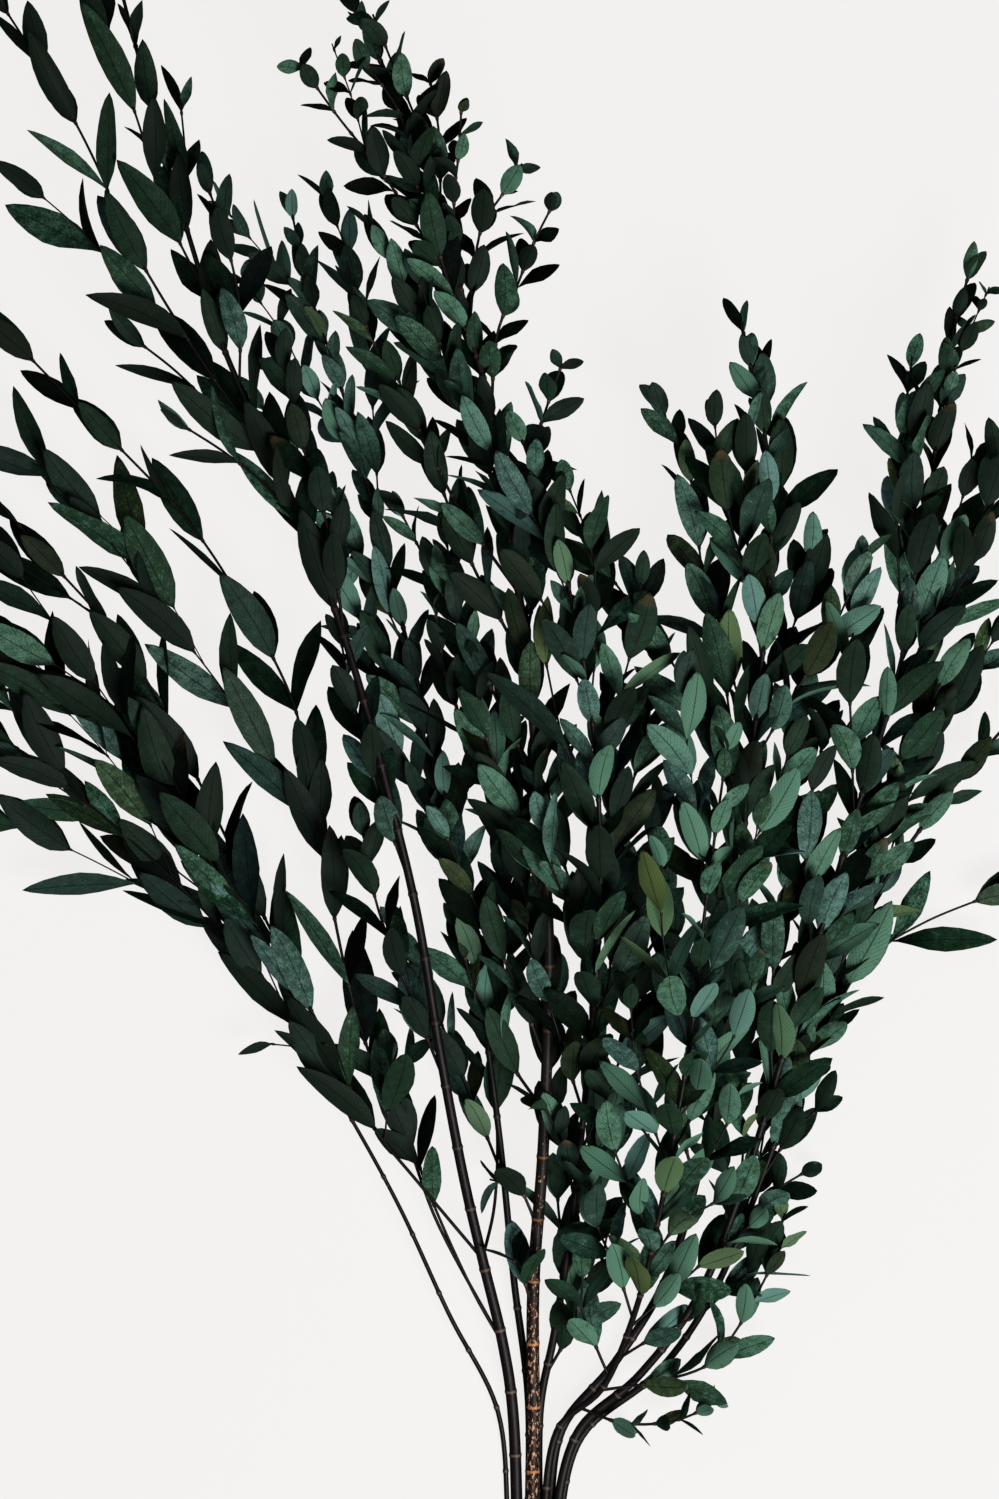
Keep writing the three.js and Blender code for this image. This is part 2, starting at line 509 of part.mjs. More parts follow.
// One leaf: where it starts, the way it points, the way it faces, and its size. A few have fallen off.
function leafAt(limb, pair, side) {
  const any = (purpose) => draw(limb.stem, limb.index, pair, side, purpose);
  if (any(6) < FALLEN_SHARE) return null;
  const distance = pairDistance(limb, pair);
  const point = limb.line.pointAt(distance);
  const direction = limb.line.directionAt(distance);
  const turn = (Math.PI / 2) * pair + Math.PI * side + (any(1) - 0.5) * 1.1;
  const outwards = outwardAt(direction, turn);
  const share = distance / limb.line.length;
  const tipwards = clamp((share - TIP_SHRINKS_FROM) / (1 - TIP_SHRINKS_FROM), 0, 1);
  const shrink = 1 - (1 - TIP_LEAF_SHARE) * tipwards;
  const opened = 1 - (1 - limb.leaf.tipSpread) * tipwards;
  const spread = radians((limb.leaf.spread + (any(2) - 0.5) * SPREAD_VARIES) * opened);
  const varied = LENGTH_FROM + LENGTH_VARIES * any(3);
  const length = limb.leaf.length * shrink * varied;
  const width = limb.leaf.width * shrink ** 0.7 * varied ** 0.6 * (WIDTH_FROM + WIDTH_VARIES * any(4));
  const along = add(direction.map((x) => x * Math.cos(spread)), outwards, Math.sin(spread));
  const inner = add(direction.map((x) => x * Math.sin(spread)), outwards, -Math.cos(spread));
  const level = 0.85 * any(5);
  const leaf = { kind: limb.leaf, distance, turn, point, length, width, spread, inner, level };
  leaf.along = unit([along[0], along[1], along[2] * 0.75]);
  for (let tries = 0; tries < 12 && lowestEdge(leaf) < LEAF_FLOOR; tries++) {
    leaf.level = 1;
    leaf.inner = mix(leaf.inner, [0, 0, 1], 0.3);
    leaf.along = unit(add(leaf.along, [0, 0, LEVELLING]));
  }
  return leaf;
}

// The way that a blade faces at a share of its length: it turns from facing its twig towards lying level.
function facingAt(leaf, u) {
  const level = [0, 0, leaf.inner[2] < 0 ? -1 : 1];
  const towards = mix(leaf.inner, level, leaf.level * Math.min(1, u / TWISTED_BY));
  return unit(add(towards, leaf.along, -dot(towards, leaf.along)));
}

// A point of a leaf's blade, from shares of its length and half width. The blade is folded at the midrib and
// droops to its tip.
function bladePoint(leaf, [u, v], above = 0) {
  const facing = facingAt(leaf, u);
  const sidewards = (v * leaf.width) / 2;
  const lift = above + FOLD * Math.abs(sidewards) - DROOP * u * u * leaf.length;
  const onMidrib = add(leaf.point, leaf.along, u * leaf.length);
  return add(add(onMidrib, cross(leaf.along, facing), sidewards), facing, lift);
}

const lowestEdge = (leaf) =>
  Math.min(...[[0.48, 1], [0.48, -1], [1, 0]].map((at) => bladePoint(leaf, at)[2])) - BLADE_THICKNESS / 2;

// A closed solid from points and triangles
function solid(points, triangles) {
  const vertProperties = new Float32Array(points.flat());
  const triVerts = new Uint32Array(triangles);
  return new wasm.Manifold(new wasm.Mesh({ numProp: 3, vertProperties, triVerts }));
}

// The triangles between a blade's upper and lower faces and over both. Each face has its corners numbered
// round its edge, from the root on one side over the tip to the root on the other side.
function bladeTriangles(upper, lower) {
  const last = upper.length - 1;
  const tip = last / 2;
  const triangles = [upper[last], upper[0], upper[tip], lower[0], lower[last], lower[tip]];
  for (let i = 0; i < last; i++) {
    triangles.push(upper[i], lower[i], upper[i + 1], upper[i + 1], lower[i], lower[i + 1]);
    if (i === tip - 1 || i === tip) continue;
    triangles.push(upper[i], upper[i + 1], upper[tip], lower[i + 1], lower[i], lower[tip]);
  }
  return triangles;
}

// The corners of a blade's upper and lower faces, all but the two at its root
function bladeCorners(leaf, side, thickness) {
  const edge = [...side, [1, 0], ...side.map(([u, v]) => [u, -v]).reverse()];
  return [0.5, -0.5].map((half) => edge.map((at) => bladePoint(leaf, at, half * thickness)));
}

// A slightly larger blade, cut off where it comes clear of its own limb
function testBlade(leaf, limb, thickness) {
  const large = { ...leaf, length: leaf.length * 1.03, width: leaf.width * 1.06 };
  const from = (radiusAt(limb, leaf.distance) + CLEAR_OF_WOOD) / Math.sin(leaf.spread) / leaf.length;
  const [first] = leaf.kind.side;
  const start = [from, first[1] * Math.min(1, from / first[0])];
  const side = [start, ...leaf.kind.side.filter(([u]) => u > from + 0.03)];
  const [upper, lower] = bladeCorners(large, side, thickness);
  const n = upper.length;
  const over = upper.map((_, i) => i);
  const under = over.map((i) => n + i);
  const root = [over[n - 1], under[n - 1], over[0], over[0], under[n - 1], under[0]];
  return solid([...upper, ...lower], [...bladeTriangles(over, under), ...root]);
}

// Which way round a square opening in the wood turns least to become a blade's root
function openingTurned(opening, points, leaf) {
  const facing = facingAt(leaf, 0);
  const across = cross(leaf.along, facing);
  const corners = [[1, -1], [-1, -1], [-1, 1], [1, 1]];
  const offsets = corners.map(([a, f]) => add(across.map((x) => x * a), facing, f));
  const fit = (shift) =>
    offsets.reduce((sum, offset, i) => sum + dot(offset, points[opening[(i + shift) % 4]]), 0);
  const best = [0, 1, 2, 3].reduce((a, b) => (fit(b) > fit(a) ? b : a));
  return opening.map((_, i) => opening[(i + best) % 4]);
}

// The number of the tube's side that a leaf grows from
const sideOf = (leaf, sides) => Math.round((leaf.turn / (2 * Math.PI) + 1.5) * sides) % sides;

// A limb's solid: a tapered tube with a flat side down. Each of its leaf pairs opens from a short band of the
// tube, so that wood and blades are one surface.
function limbSolid(limb, leaves) {
  const { line, sides } = limb;
  const step = (2 * Math.PI) / sides;
  const bands = [...new Set(leaves.map((leaf) => leaf.distance))];
  const bends = line.knots.map((knot) => knot.distance);
  const stations = bends.filter((d) => bands.every((band) => Math.abs(band - d) > 2 * BAND_HALF));
  stations.push(...bands.flatMap((band) => [band - BAND_HALF, band + BAND_HALF]));
  stations.sort((a, b) => a - b);

  const points = stations.flatMap((distance) => {
    const direction = line.directionAt(distance);
    return Array.from({ length: sides }, (_, k) =>
      add(line.pointAt(distance), outwardAt(direction, Math.PI + (k + 0.5) * step), radiusAt(limb, distance)),
    );
  });
  const triangles = [];
  const end = (stations.length - 1) * sides;
  for (let k = 1; k < sides - 1; k++) triangles.push(0, k + 1, k, end, end + k, end + k + 1);
  for (let i = 0; i < stations.length - 1; i++)
    for (let k = 0; k < sides; k++) {
      const [a, b] = [i * sides + k, i * sides + ((k + 1) % sides)];
      const opening = [a, b, b + sides, a + sides];
      const faces = (k + 1) % sides;
      const atBand = leaves.filter((one) => one.distance - BAND_HALF === stations[i]);
      const leaf = atBand.find((one) => sideOf(one, sides) === faces);
      if (!leaf) {
        triangles.push(a, b, a + sides, b, b + sides, a + sides);
        continue;
      }
      const [lowerStart, lowerEnd, upperEnd, upperStart] = openingTurned(opening, points, leaf);
      const [upper, lower] = bladeCorners(leaf, leaf.kind.side, BLADE_THICKNESS);
      const over = upper.map((_, j) => points.length + j);
      const under = over.map((j) => j + upper.length);
      points.push(...upper, ...lower);
      triangles.push(...bladeTriangles([upperStart, ...over, upperEnd], [lowerStart, ...under, lowerEnd]));
    }
  return solid(points, triangles);
}

const meets = (a, b) => a.intersect(b).volume() > 0;
const boxesMeet = (a, b) => [0, 1, 2].every((i) => a.min[i] < b.max[i] && b.min[i] < a.max[i]);

// The leaves of one pair whose blades are clear of their own wood and of all that is placed
function clearLeaves(limb, pair, own, placed) {
  return [0, 1].flatMap((side) => {
    const leaf = leafAt(limb, pair, side);
    if (!leaf || meets(testBlade(leaf, limb, OWN_TEST_THICKNESS), own)) return [];
    const body = testBlade(leaf, limb, TEST_THICKNESS);
    const box = body.boundingBox();
    const others = placed.filter((other) => other.limb !== limb && boxesMeet(box, other.box));
    return others.some((other) => meets(body, other.body)) ? [] : [{ leaf, body, box }];
  });
}

// The leaves that a limb's solid holds: every sixth pair counted from its tip, or the pair next to it where
// more of that one's leaves are clear.
function solidLeaves(limb, placed) {
  const own = placed.find((other) => other.limb === limb).body;
  const pairs = pairCount(limb);
  const leaves = [];
  for (let pair = pairs - 1; pair >= 0; pair -= SOLID_PAIR_EVERY) {
    const near = [pair, pair - 1, pair + 1].filter((tried) => tried >= 0 && tried < pairs);
    const clear = near.map((tried) => clearLeaves(limb, tried, own, placed));
    const most = clear.reduce((a, b) => (b.length > a.length ? b : a));
    placed.push(...most.map(({ body, box }) => ({ body, box })));
    leaves.push(...most.map(({ leaf }) => leaf));
  }
  return leaves;
}

function meshOf(name, body, material) {
  const { vertProperties, triVerts } = body.getMesh();
  const geometry = new THREE.BufferGeometry();
  geometry.setAttribute("position", new THREE.BufferAttribute(new Float32Array(vertProperties), 3));
  geometry.setIndex(new THREE.BufferAttribute(new Uint32Array(triVerts), 1));
  const mesh = new THREE.Mesh(geometry, material);
  mesh.name = name;
  return mesh;
}

const preservedLeaf = new THREE.MeshStandardMaterial({ color: "#2f4a40", roughness: 0.62, metalness: 0 });

function bunch() {
  const limbs = growLimbs();
  const placed = limbs.map((limb) => {
    const body = limbSolid(limb, []);
    return { limb, body, box: body.boundingBox() };
  });
  const bodies = limbs.map((limb) => limbSolid(limb, solidLeaves(limb, placed)));
  const group = new THREE.Group();
  STEMS.forEach(({ name }, s) => {
    const grown = wasm.Manifold.union(bodies.filter((_, i) => limbs[i].stem === s));
    group.add(meshOf(name, grown, preservedLeaf));
  });
  return group;
}

export default bunch();
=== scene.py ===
"""Dressed scene of a bunch of cut, preserved small-leaved eucalyptus.

The bunch lies on a pale surface and is seen from above. Lengths are in millimetres until they go into a
mesh.
"""
import json
import logging
import math
from dataclasses import asdict, dataclass, field
from enum import Enum, IntEnum
from itertools import product
from operator import mul
from typing import ClassVar

import bpy
import numpy as np
from bpy.types import Material, Node, NodeSocket, NodeTree, Object
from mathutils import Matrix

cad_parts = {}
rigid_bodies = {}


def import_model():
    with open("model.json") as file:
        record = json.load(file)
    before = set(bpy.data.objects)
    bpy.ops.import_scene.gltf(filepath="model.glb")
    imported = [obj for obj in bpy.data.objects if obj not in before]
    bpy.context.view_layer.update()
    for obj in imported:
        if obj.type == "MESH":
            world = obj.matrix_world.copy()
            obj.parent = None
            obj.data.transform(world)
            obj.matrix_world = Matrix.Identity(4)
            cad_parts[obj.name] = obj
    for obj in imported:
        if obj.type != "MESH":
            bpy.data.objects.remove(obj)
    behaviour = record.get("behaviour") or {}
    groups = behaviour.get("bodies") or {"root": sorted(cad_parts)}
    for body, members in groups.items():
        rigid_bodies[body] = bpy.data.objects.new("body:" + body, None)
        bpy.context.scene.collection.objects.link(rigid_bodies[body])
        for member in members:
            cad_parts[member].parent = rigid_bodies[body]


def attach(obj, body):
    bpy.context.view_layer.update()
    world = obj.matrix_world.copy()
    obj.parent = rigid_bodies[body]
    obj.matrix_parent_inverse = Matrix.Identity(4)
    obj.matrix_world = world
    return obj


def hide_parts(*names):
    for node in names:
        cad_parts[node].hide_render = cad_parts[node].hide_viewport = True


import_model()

log = logging.getLogger("bunch")

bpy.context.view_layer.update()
MM = 0.001

# What stirs the keys of a draw into an even spread of whole numbers of 32 bits
STIR_FROM = 2166136261
STIR_BY = 16777619
STIR_ON_BY = 0x5BD1E995
STIR_SHIFTS = (13, 15)
WHOLE = 2**32

# The bundle where the stems are gathered
STEM_GAP = 0.3
CUT_END = -96.0
FAN_START = -32.0
STRAIGHT_POINTS = 3
MAIN_SIDES = 6

# Wood: a main stem tapers from its own radius to this share of it, a twig from root to tip
MAIN_TIP_SHARE = 0.28
TWIG_ROOT_RADIUS = 1.05
TWIG_TIP_RADIUS = 0.65
TWIG_ROOT_SHARE = 0.62
TWIG_TIP_SHARE = 0.8
BEND_TOLERANCE = 2.8
CURVE_SAMPLES = 12

# What bends twigs of different stems clear of each other
TWIG_CLEARANCE = 0.9
LIFT_STEP = 3
MOST_LIFT_STEPS = 14
LOWEST_TWIG = 7.0
RISE_RATE = 1.6
PARALLEL_BELOW = 1e-9

# Leaves: opposite pairs, each pair turned a quarter from the one below
BARE_TWIG = 13.0
BARE_SHARE = 0.17
WAND_BARE_SHARE = 0.5
BUD = 2.6
TIP_LEAF_SHARE = 0.52
TIP_SHRINKS_FROM = 0.6
SPREAD_VARIES = 20.0
TURN_VARIES = 1.1
SPACING_VARIES = 0.5
FALLEN_SHARE = 0.05
LENGTH_FROM = 0.76
LENGTH_VARIES = 0.44
WIDTH_FROM = 0.84
WIDTH_VARIES = 0.3
WIDTH_SHRINKS = 0.7
WIDTH_FOLLOWS = 0.6
FLATTENED = (1.0, 1.0, 0.75)
MOST_LEVEL = 0.85
LEAF_FLOOR = 0.25
LEVELLING = 0.06
RIGHTING = 0.3
MOST_LEVELLINGS = 12
WIDEST_AT = 0.48
TWISTED_BY = 0.45
FOLD = 0.1
DROOP = 0.07
SOLID_THICKNESS = 0.7
STALK_SHARE = 0.04

UP = np.array([0.0, 0.0, 1.0])


@dataclass(frozen=True)
class LeafPlan:
    """A kind of leaf: its size, its angle from the twig and the shape of its outline.

    The angle is in degrees, and tip_spread is the share of it that is left at the twig's tip. The outline
    rises from the stalk by the power belly and falls to the tip by the power point.
    """

    length: float
    width: float
    spread: float
    tip_spread: float
    spacing: float
    belly: float
    point: float

    def fullest(self) -> float:
        """The outline's value where the blade is widest, before it is scaled to the leaf's width."""
        at = (self.belly + STALK_SHARE * self.point) / (self.belly + self.point)
        return (at - STALK_SHARE) ** self.belly * (1 - at) ** self.point


class LeafKind(Enum):
    """The kinds of leaf in this bunch."""

    LANCE = LeafPlan(41, 11.5, 21, 0.45, 26, 0.6, 0.8)
    SLIM = LeafPlan(31, 6.5, 22, 0.6, 20, 0.68, 0.92)
    OVAL = LeafPlan(29, 10.2, 28, 0.55, 14, 0.6, 0.68)
    NARROW = LeafPlan(27, 8.7, 25, 0.55, 12, 0.62, 0.74)
    BROAD = LeafPlan(25, 9.6, 37, 0.8, 12, 0.6, 0.7)
    SMALL = LeafPlan(20, 8.5, 38, 1.1, 10.5, 0.6, 0.7)
    TINY = LeafPlan(13, 5.6, 42, 1.2, 8, 0.6, 0.72)


LANCE, SLIM, OVAL, NARROW, BROAD, SMALL, TINY = LeafKind


@dataclass(frozen=True)
class Seat:
    """Where a stem lies in the bundle: its centre across the bundle, its height and its radius."""

    x: float
    z: float
    r: float

    def beside(self, r: float, side: int) -> "Seat":
        """A stem of radius r that lies on the surface to one side of this one, clear by the gap."""
        touching = 2 * math.sqrt(self.r * r)
        return Seat(self.x + side * (touching + STEM_GAP), lying_height(r), r)

    def bundled(self, cut_end: float = CUT_END, fan_start: float = FAN_START) -> list[tuple]:
        """The straight stretch from the stem's cut end to where it leaves the others."""
        middle = (cut_end + fan_start) / 2
        return [(self.x, cut_end, self.z), (self.x, middle, self.z), (self.x, fan_start, self.z)]


def lying_height(r: float) -> float:
    """The height of a stem's centre where its flat side lies on the surface."""
    return r * math.cos(math.pi / MAIN_SIDES)


def in_valley(a: Seat, b: Seat, r: float) -> Seat:
    """A stem of radius r that lies in the valley above two others, clear of both by the gap.

    Args:
        a: The left one of the two stems below.
        b: The right one.
        r: The upper stem's radius.

    Returns:
        Where the upper stem lies.
    """
    from_a = a.r + r + STEM_GAP
    from_b = b.r + r + STEM_GAP
    span = math.hypot(b.x - a.x, b.z - a.z)
    along = (from_a**2 - from_b**2 + span**2) / (2 * span)
    up = math.sqrt(from_a**2 - along**2)
    ux = (b.x - a.x) / span
    uz = (b.z - a.z) / span
    return Seat(a.x + ux * along - uz * up, a.z + uz * along + ux * up, r)


STRAIGHT = Seat(0.0, lying_height(1.8), 1.8)
LEFT_MAIN = STRAIGHT.beside(2.8, -1)
LEFT_LOW = LEFT_MAIN.beside(1.2, -1)
FRONT_RIGHT = STRAIGHT.beside(2.1, 1)
RIGHT_CENTRE = FRONT_RIGHT.beside(2.3, 1)
RIGHT_LOW = RIGHT_CENTRE.beside(2.0, 1)
CENTRE = in_valley(STRAIGHT, FRONT_RIGHT, 3.3)
RIGHT_FRONT = in_valley(CENTRE, RIGHT_CENTRE, 1.8)
RIGHT_MAIN = in_valley(RIGHT_CENTRE, RIGHT_LOW, 2.2)


@dataclass(frozen=True)
class TwigPlan:
    """One twig: the height up the bunch of its root, its rise above that and the points that it passes.

    It bears its stem's own kind of leaf unless it names another. It grows from the main limb, or from the
    earlier twig that has the parent's number. The bare share is how much of it bears no leaves.
    """

    root_y: float
    rise: float
    points: tuple[tuple[float, float], ...]
    leaf: LeafKind | None = None
    parent: int | None = None
    bare: float = BARE_SHARE


def twig(root_y: float, rise: float, *points: tuple[float, float], **others: object) -> TwigPlan:
    """One row of the table of twigs."""
    return TwigPlan(root_y, rise, points, **others)


@dataclass(frozen=True)
class StemPlan:
    """One cut stem: its place in the bundle, its own leaves, where they start, its route and its twigs."""

    name: str
    seat: Seat
    leaf: LeafKind
    leafy_from: float
    route: tuple[tuple[float, float, float], ...]
    twigs: tuple[TwigPlan, ...]


STEMS: tuple[StemPlan, ...] = (
    StemPlan("straight_stem", STRAIGHT, NARROW, 170, (
        *STRAIGHT.bundled(CUT_END, 14), (-6, 64, 7), (-12, 124, 13), (-20, 184, 18), (-30, 244, 20),
        (-42, 296, 22), (-54, 344, 22), (-66, 392, 24), (-78, 436, 26), (-90, 472, 28), (-97, 504, 28),
    ), (
        twig(372, 4, (-64, 425), (-67, 456), (-74, 486), (-84, 512)),
        twig(396, -6, (-88, 430), (-102, 456), (-118, 478), leaf=SMALL),
        twig(436, -4, (-92, 466), (-106, 484), (-124, 505)),
        twig(318, -8, (-68, 362), (-90, 396), (-112, 428)),
        twig(276, -6, (-58, 316), (-74, 348), (-82, 386)),
        twig(214, -4, (-42, 258), (-58, 296), (-66, 330)),
        twig(150, 6, (-8, 196), (-10, 245), (-16, 292)),
        twig(246, 6, (-22, 288), (-26, 330), (-34, 370)),
        twig(106, -2, (-26, 146), (-40, 180), (-52, 208)),
    )),
    StemPlan("left_stem", LEFT_MAIN, LANCE, 340, (
        *LEFT_MAIN.bundled(CUT_END - 8), (-6.5, 10, 4.5), (-11, 40, 9), (-19, 74, 16), (-27, 110, 24),
        (-36, 160, 36), (-45, 216, 46), (-56, 264, 54), (-70, 316, 60), (-88, 368, 62), (-107, 410, 60),
        (-123, 446, 56), (-135, 484, 52), (-147, 524, 47), (-157, 560, 43), (-167, 598, 40),
    ), (
        twig(38, 16, (-37, 87), (-51, 125), (-69, 168), (-80, 215), (-88, 262), (-97, 304), (-118, 345),
            (-140, 378), (-170, 410), (-198, 438), (-222, 464), (-240, 488)),
        twig(74, 6, (-44, 104), (-66, 132), (-88, 174), (-112, 222), (-134, 268), (-152, 304), (-172, 334),
            (-197, 362), (-221, 390), (-243, 416)),
        twig(196, 8, (-86, 244), (-100, 270), (-114, 291), (-128, 312), (-148, 338), (-166, 362),
            (-190, 390), parent=0),
        twig(318, -6, (-154, 356), (-176, 380), (-202, 400), (-228, 414), (-250, 424), parent=2),
        twig(336, 4, (-194, 350), (-217, 364), (-240, 376), parent=1),
        twig(398, 6, (-126, 432), (-144, 460), (-160, 488), (-174, 520), (-188, 546), (-211, 582)),
        twig(450, -6, (-166, 478), (-183, 495), (-198, 508), parent=5),
        twig(466, 8, (-146, 500), (-155, 530), (-165, 560), (-178, 596)),
        twig(500, -6, (-139, 522), (-141, 546), leaf=SLIM),
        twig(394, -8, (-124, 418), (-142, 436), (-160, 450)),
        twig(366, 4, (-104, 388), (-121, 402), (-138, 413), leaf=SLIM),
        twig(430, 8, (-116, 462), (-122, 490), (-129, 510), leaf=OVAL),
        twig(328, 10, (-80, 370), (-90, 404), (-98, 438), leaf=OVAL),
        twig(228, 8, (-60, 264), (-70, 298), (-76, 330), leaf=OVAL),
        twig(148, 8, (-50, 188), (-62, 222), (-68, 254), leaf=OVAL),
        twig(122, 6, (-57, 140), (-50, 156), leaf=OVAL, parent=1),
        twig(170, -8, (-110, 206), (-140, 230), (-170, 252), (-200, 272), (-228, 288), parent=1),
        twig(262, 8, (-156, 290), (-184, 312), (-212, 330), (-240, 346), parent=1),
        twig(74, -8, (-14, 96), (-13, 126), (-16, 158), (-20, 190), leaf=OVAL, bare=WAND_BARE_SHARE),
        twig(38, 3, (-24, 62), (-40, 98), (-50, 128), (-57, 158), leaf=OVAL, bare=WAND_BARE_SHARE),
    )),
    StemPlan("left_low_stem", LEFT_LOW, LANCE, 142, (
        *LEFT_LOW.bundled(CUT_END + 12), (-13, 10, 2.4), (-33, 50, 6), (-54, 96, 10), (-78, 140, 14),
        (-102, 180, 16), (-130, 214, 18), (-163, 246, 18), (-198, 275, 17), (-232, 300, 15),
        (-256, 316, 14),
    ), (
        twig(192, -4, (-140, 216), (-164, 230), (-192, 244), (-222, 256), (-246, 264)),
        twig(208, 4, (-140, 244), (-164, 276), (-192, 308), (-220, 338), (-240, 358)),
        twig(178, 8, (-116, 212), (-138, 250), (-164, 292), (-194, 336), (-222, 376), (-238, 398)),
        twig(156, 12, (-100, 192), (-120, 226), (-140, 262), (-156, 292)),
        twig(230, 8, (-162, 266), (-184, 294), (-212, 320), (-238, 340)),
        twig(134, 2, (-88, 158), (-108, 163), leaf=SLIM),
        twig(262, 6, (-206, 294), (-226, 312), (-244, 330)),
    )),
    StemPlan("front_right_stem", FRONT_RIGHT, OVAL, 150, (
        *FRONT_RIGHT.bundled(CUT_END + 4), (4.8, 10, 2.6), (11, 44, 9), (18, 94, 24), (24, 160, 50),
        (28, 224, 72), (26, 280, 84), (20, 324, 90), (12, 360, 92), (3, 388, 90), (-4, 408, 88),
    ), (
        twig(300, 4, (26, 332), (24, 362), (14, 390), leaf=BROAD),
        twig(272, 2, (36, 308), (42, 332), (44, 352)),
        twig(228, -8, (38, 260), (46, 290), (51, 320)),
        twig(176, -6, (42, 205), (46, 235), (52, 264)),
        twig(118, 4, (32, 146), (42, 172), (48, 202)),
        twig(236, 6, (20, 268), (12, 292), (6, 320), leaf=LANCE),
        twig(186, 8, (18, 214), (8, 240), (2, 270)),
        twig(136, 10, (14, 162), (6, 188), (-2, 216)),
        twig(296, 4, (10, 332), (-4, 358), (-14, 386)),
        twig(84, 8, (26, 112), (34, 140)),
        twig(336, 4, (4, 370), (-12, 394), (-24, 418)),
        twig(206, 10, (32, 240), (33, 272), (32, 304)),
        twig(100, 12, (14, 122), (6, 140), leaf=SMALL),
        twig(24, 6, (18, 44), (28, 64), (33, 86), leaf=BROAD),
        twig(52, 4, (14, 76), (12, 100), (14, 122)),
        twig(66, 8, (26, 90), (30, 112), (32, 134), leaf=BROAD),
        twig(154, 4, (30, 182), (34, 208), (36, 236)),
        twig(194, -6, (18, 226), (10, 252), (12, 282)),
        twig(108, -4, (10, 134), (8, 158), (12, 186)),
    )),
    StemPlan("right_centre_stem", RIGHT_CENTRE, OVAL, 150, (
        *RIGHT_CENTRE.bundled(CUT_END - 2), (14, 2, 2.6), (36, 30, 6), (57, 66, 12), (70, 112, 22),
        (78, 160, 32), (84, 212, 40), (88, 264, 46), (93, 312, 50), (97, 360, 54), (96, 400, 56),
        (90, 432, 56), (85, 456, 54),
    ), (
        twig(288, -6, (78, 326), (70, 358), (66, 392), (54, 422)),
        twig(336, 8, (84, 364), (77, 392), (74, 416)),
        twig(250, 42, (80, 276), (66, 304), (48, 330), (32, 352), (18, 371), leaf=LANCE),
        twig(298, -8, (104, 326), (111, 346), (115, 366)),
        twig(276, 8, (104, 302), (122, 332), (134, 360)),
        twig(226, -6, (98, 252), (108, 280), (112, 312)),
        twig(196, 8, (74, 228), (64, 256), (60, 286)),
        twig(146, 8, (68, 178), (58, 204), (54, 234)),
        twig(106, 8, (60, 134), (50, 158), (46, 184)),
        twig(348, -4, (102, 382), (98, 412), (94, 438)),
        twig(166, -8, (94, 190), (104, 214), (110, 244)),
        twig(318, 10, (90, 350), (86, 380), (88, 412)),
        twig(236, 12, (86, 272), (80, 302), (78, 336), leaf=LANCE),
        twig(122, -6, (84, 144), (90, 168), (88, 196)),
    )),
    StemPlan("right_low_stem", RIGHT_LOW, OVAL, 120, (
        *RIGHT_LOW.bundled(CUT_END + 8), (23, 0, 2.2), (54, 26, 5), (77, 60, 8), (96, 106, 12),
        (111, 150, 16), (125, 188, 18), (143, 224, 18), (164, 255, 18), (186, 282, 18), (207, 306, 16),
        (222, 328, 16),
    ), (
        twig(226, 4, (156, 264), (170, 292), (184, 318), (198, 340)),
        twig(172, -4, (140, 198), (162, 212), (186, 222), (214, 232), leaf=LANCE),
        twig(106, 6, (107, 124), (120, 137)),
        twig(84, 2, (100, 100), (115, 110), leaf=SMALL),
        twig(148, -2, (120, 166), (132, 186), (142, 206)),
        twig(62, -2, (86, 84), (94, 106), (98, 128), leaf=BROAD),
        twig(196, 10, (140, 232), (146, 264), (160, 290)),
        twig(50, 6, (84, 62), (97, 74), (106, 92), leaf=BROAD),
        twig(132, 8, (112, 172), (116, 200), (124, 228)),
    )),
    StemPlan("right_stem", RIGHT_MAIN, OVAL, 130, (
        *RIGHT_MAIN.bundled(), (21, 2, 7), (46, 26, 13), (70, 60, 20), (88, 108, 30), (102, 156, 38),
        (116, 204, 44), (130, 252, 46), (144, 296, 46), (155, 340, 44), (162, 384, 42), (167, 424, 40),
        (173, 456, 38), (179, 478, 36),
    ), (
        twig(326, 8, (149, 358), (148, 390), (151, 418), (154, 442)),
        twig(416, -2, (175, 444), (187, 472), leaf=TINY),
        twig(306, 6, (164, 336), (176, 362), (186, 388), (196, 416)),
        twig(256, 8, (130, 288), (129, 320), (134, 352)),
        twig(236, -8, (142, 264), (158, 292), (174, 324)),
        twig(196, 8, (112, 228), (112, 256), (118, 286)),
        twig(146, 8, (98, 176), (100, 204), (104, 232)),
        twig(186, -8, (126, 216), (140, 238), (150, 266)),
        twig(118, -8, (100, 140), (112, 164), (122, 192)),
        twig(86, 6, (86, 106), (88, 128)),
        twig(336, 12, (156, 366), (153, 396), (157, 424)),
        twig(276, 4, (150, 310), (166, 336), (180, 362), leaf=LANCE),
        twig(318, -4, (164, 348), (172, 374), (180, 400)),
        twig(98, 6, (76, 124), (74, 148), (76, 176)),
    )),
    StemPlan("centre_stem", CENTRE, NARROW, 250, (
        *CENTRE.bundled(CUT_END - 14), (2, 8, 8), (2, 64, 16), (6, 124, 30), (8, 204, 48), (4, 264, 60),
        (-2, 328, 70), (-10, 384, 74), (-17, 424, 76), (-27, 464, 76), (-39, 508, 74), (-54, 546, 70),
        (-70, 580, 66),
    ), (
        twig(458, 6, (-44, 490), (-60, 514), (-76, 534), (-91, 555), leaf=SMALL),
        twig(470, 6, (-30, 500), (-28, 520), (-27, 538), leaf=TINY),
        twig(452, -6, (-20, 488), (-10, 506), (-3, 517), leaf=SMALL),
        twig(416, -4, (-13, 448), (-5, 468), (2, 486), (9, 500), leaf=SMALL),
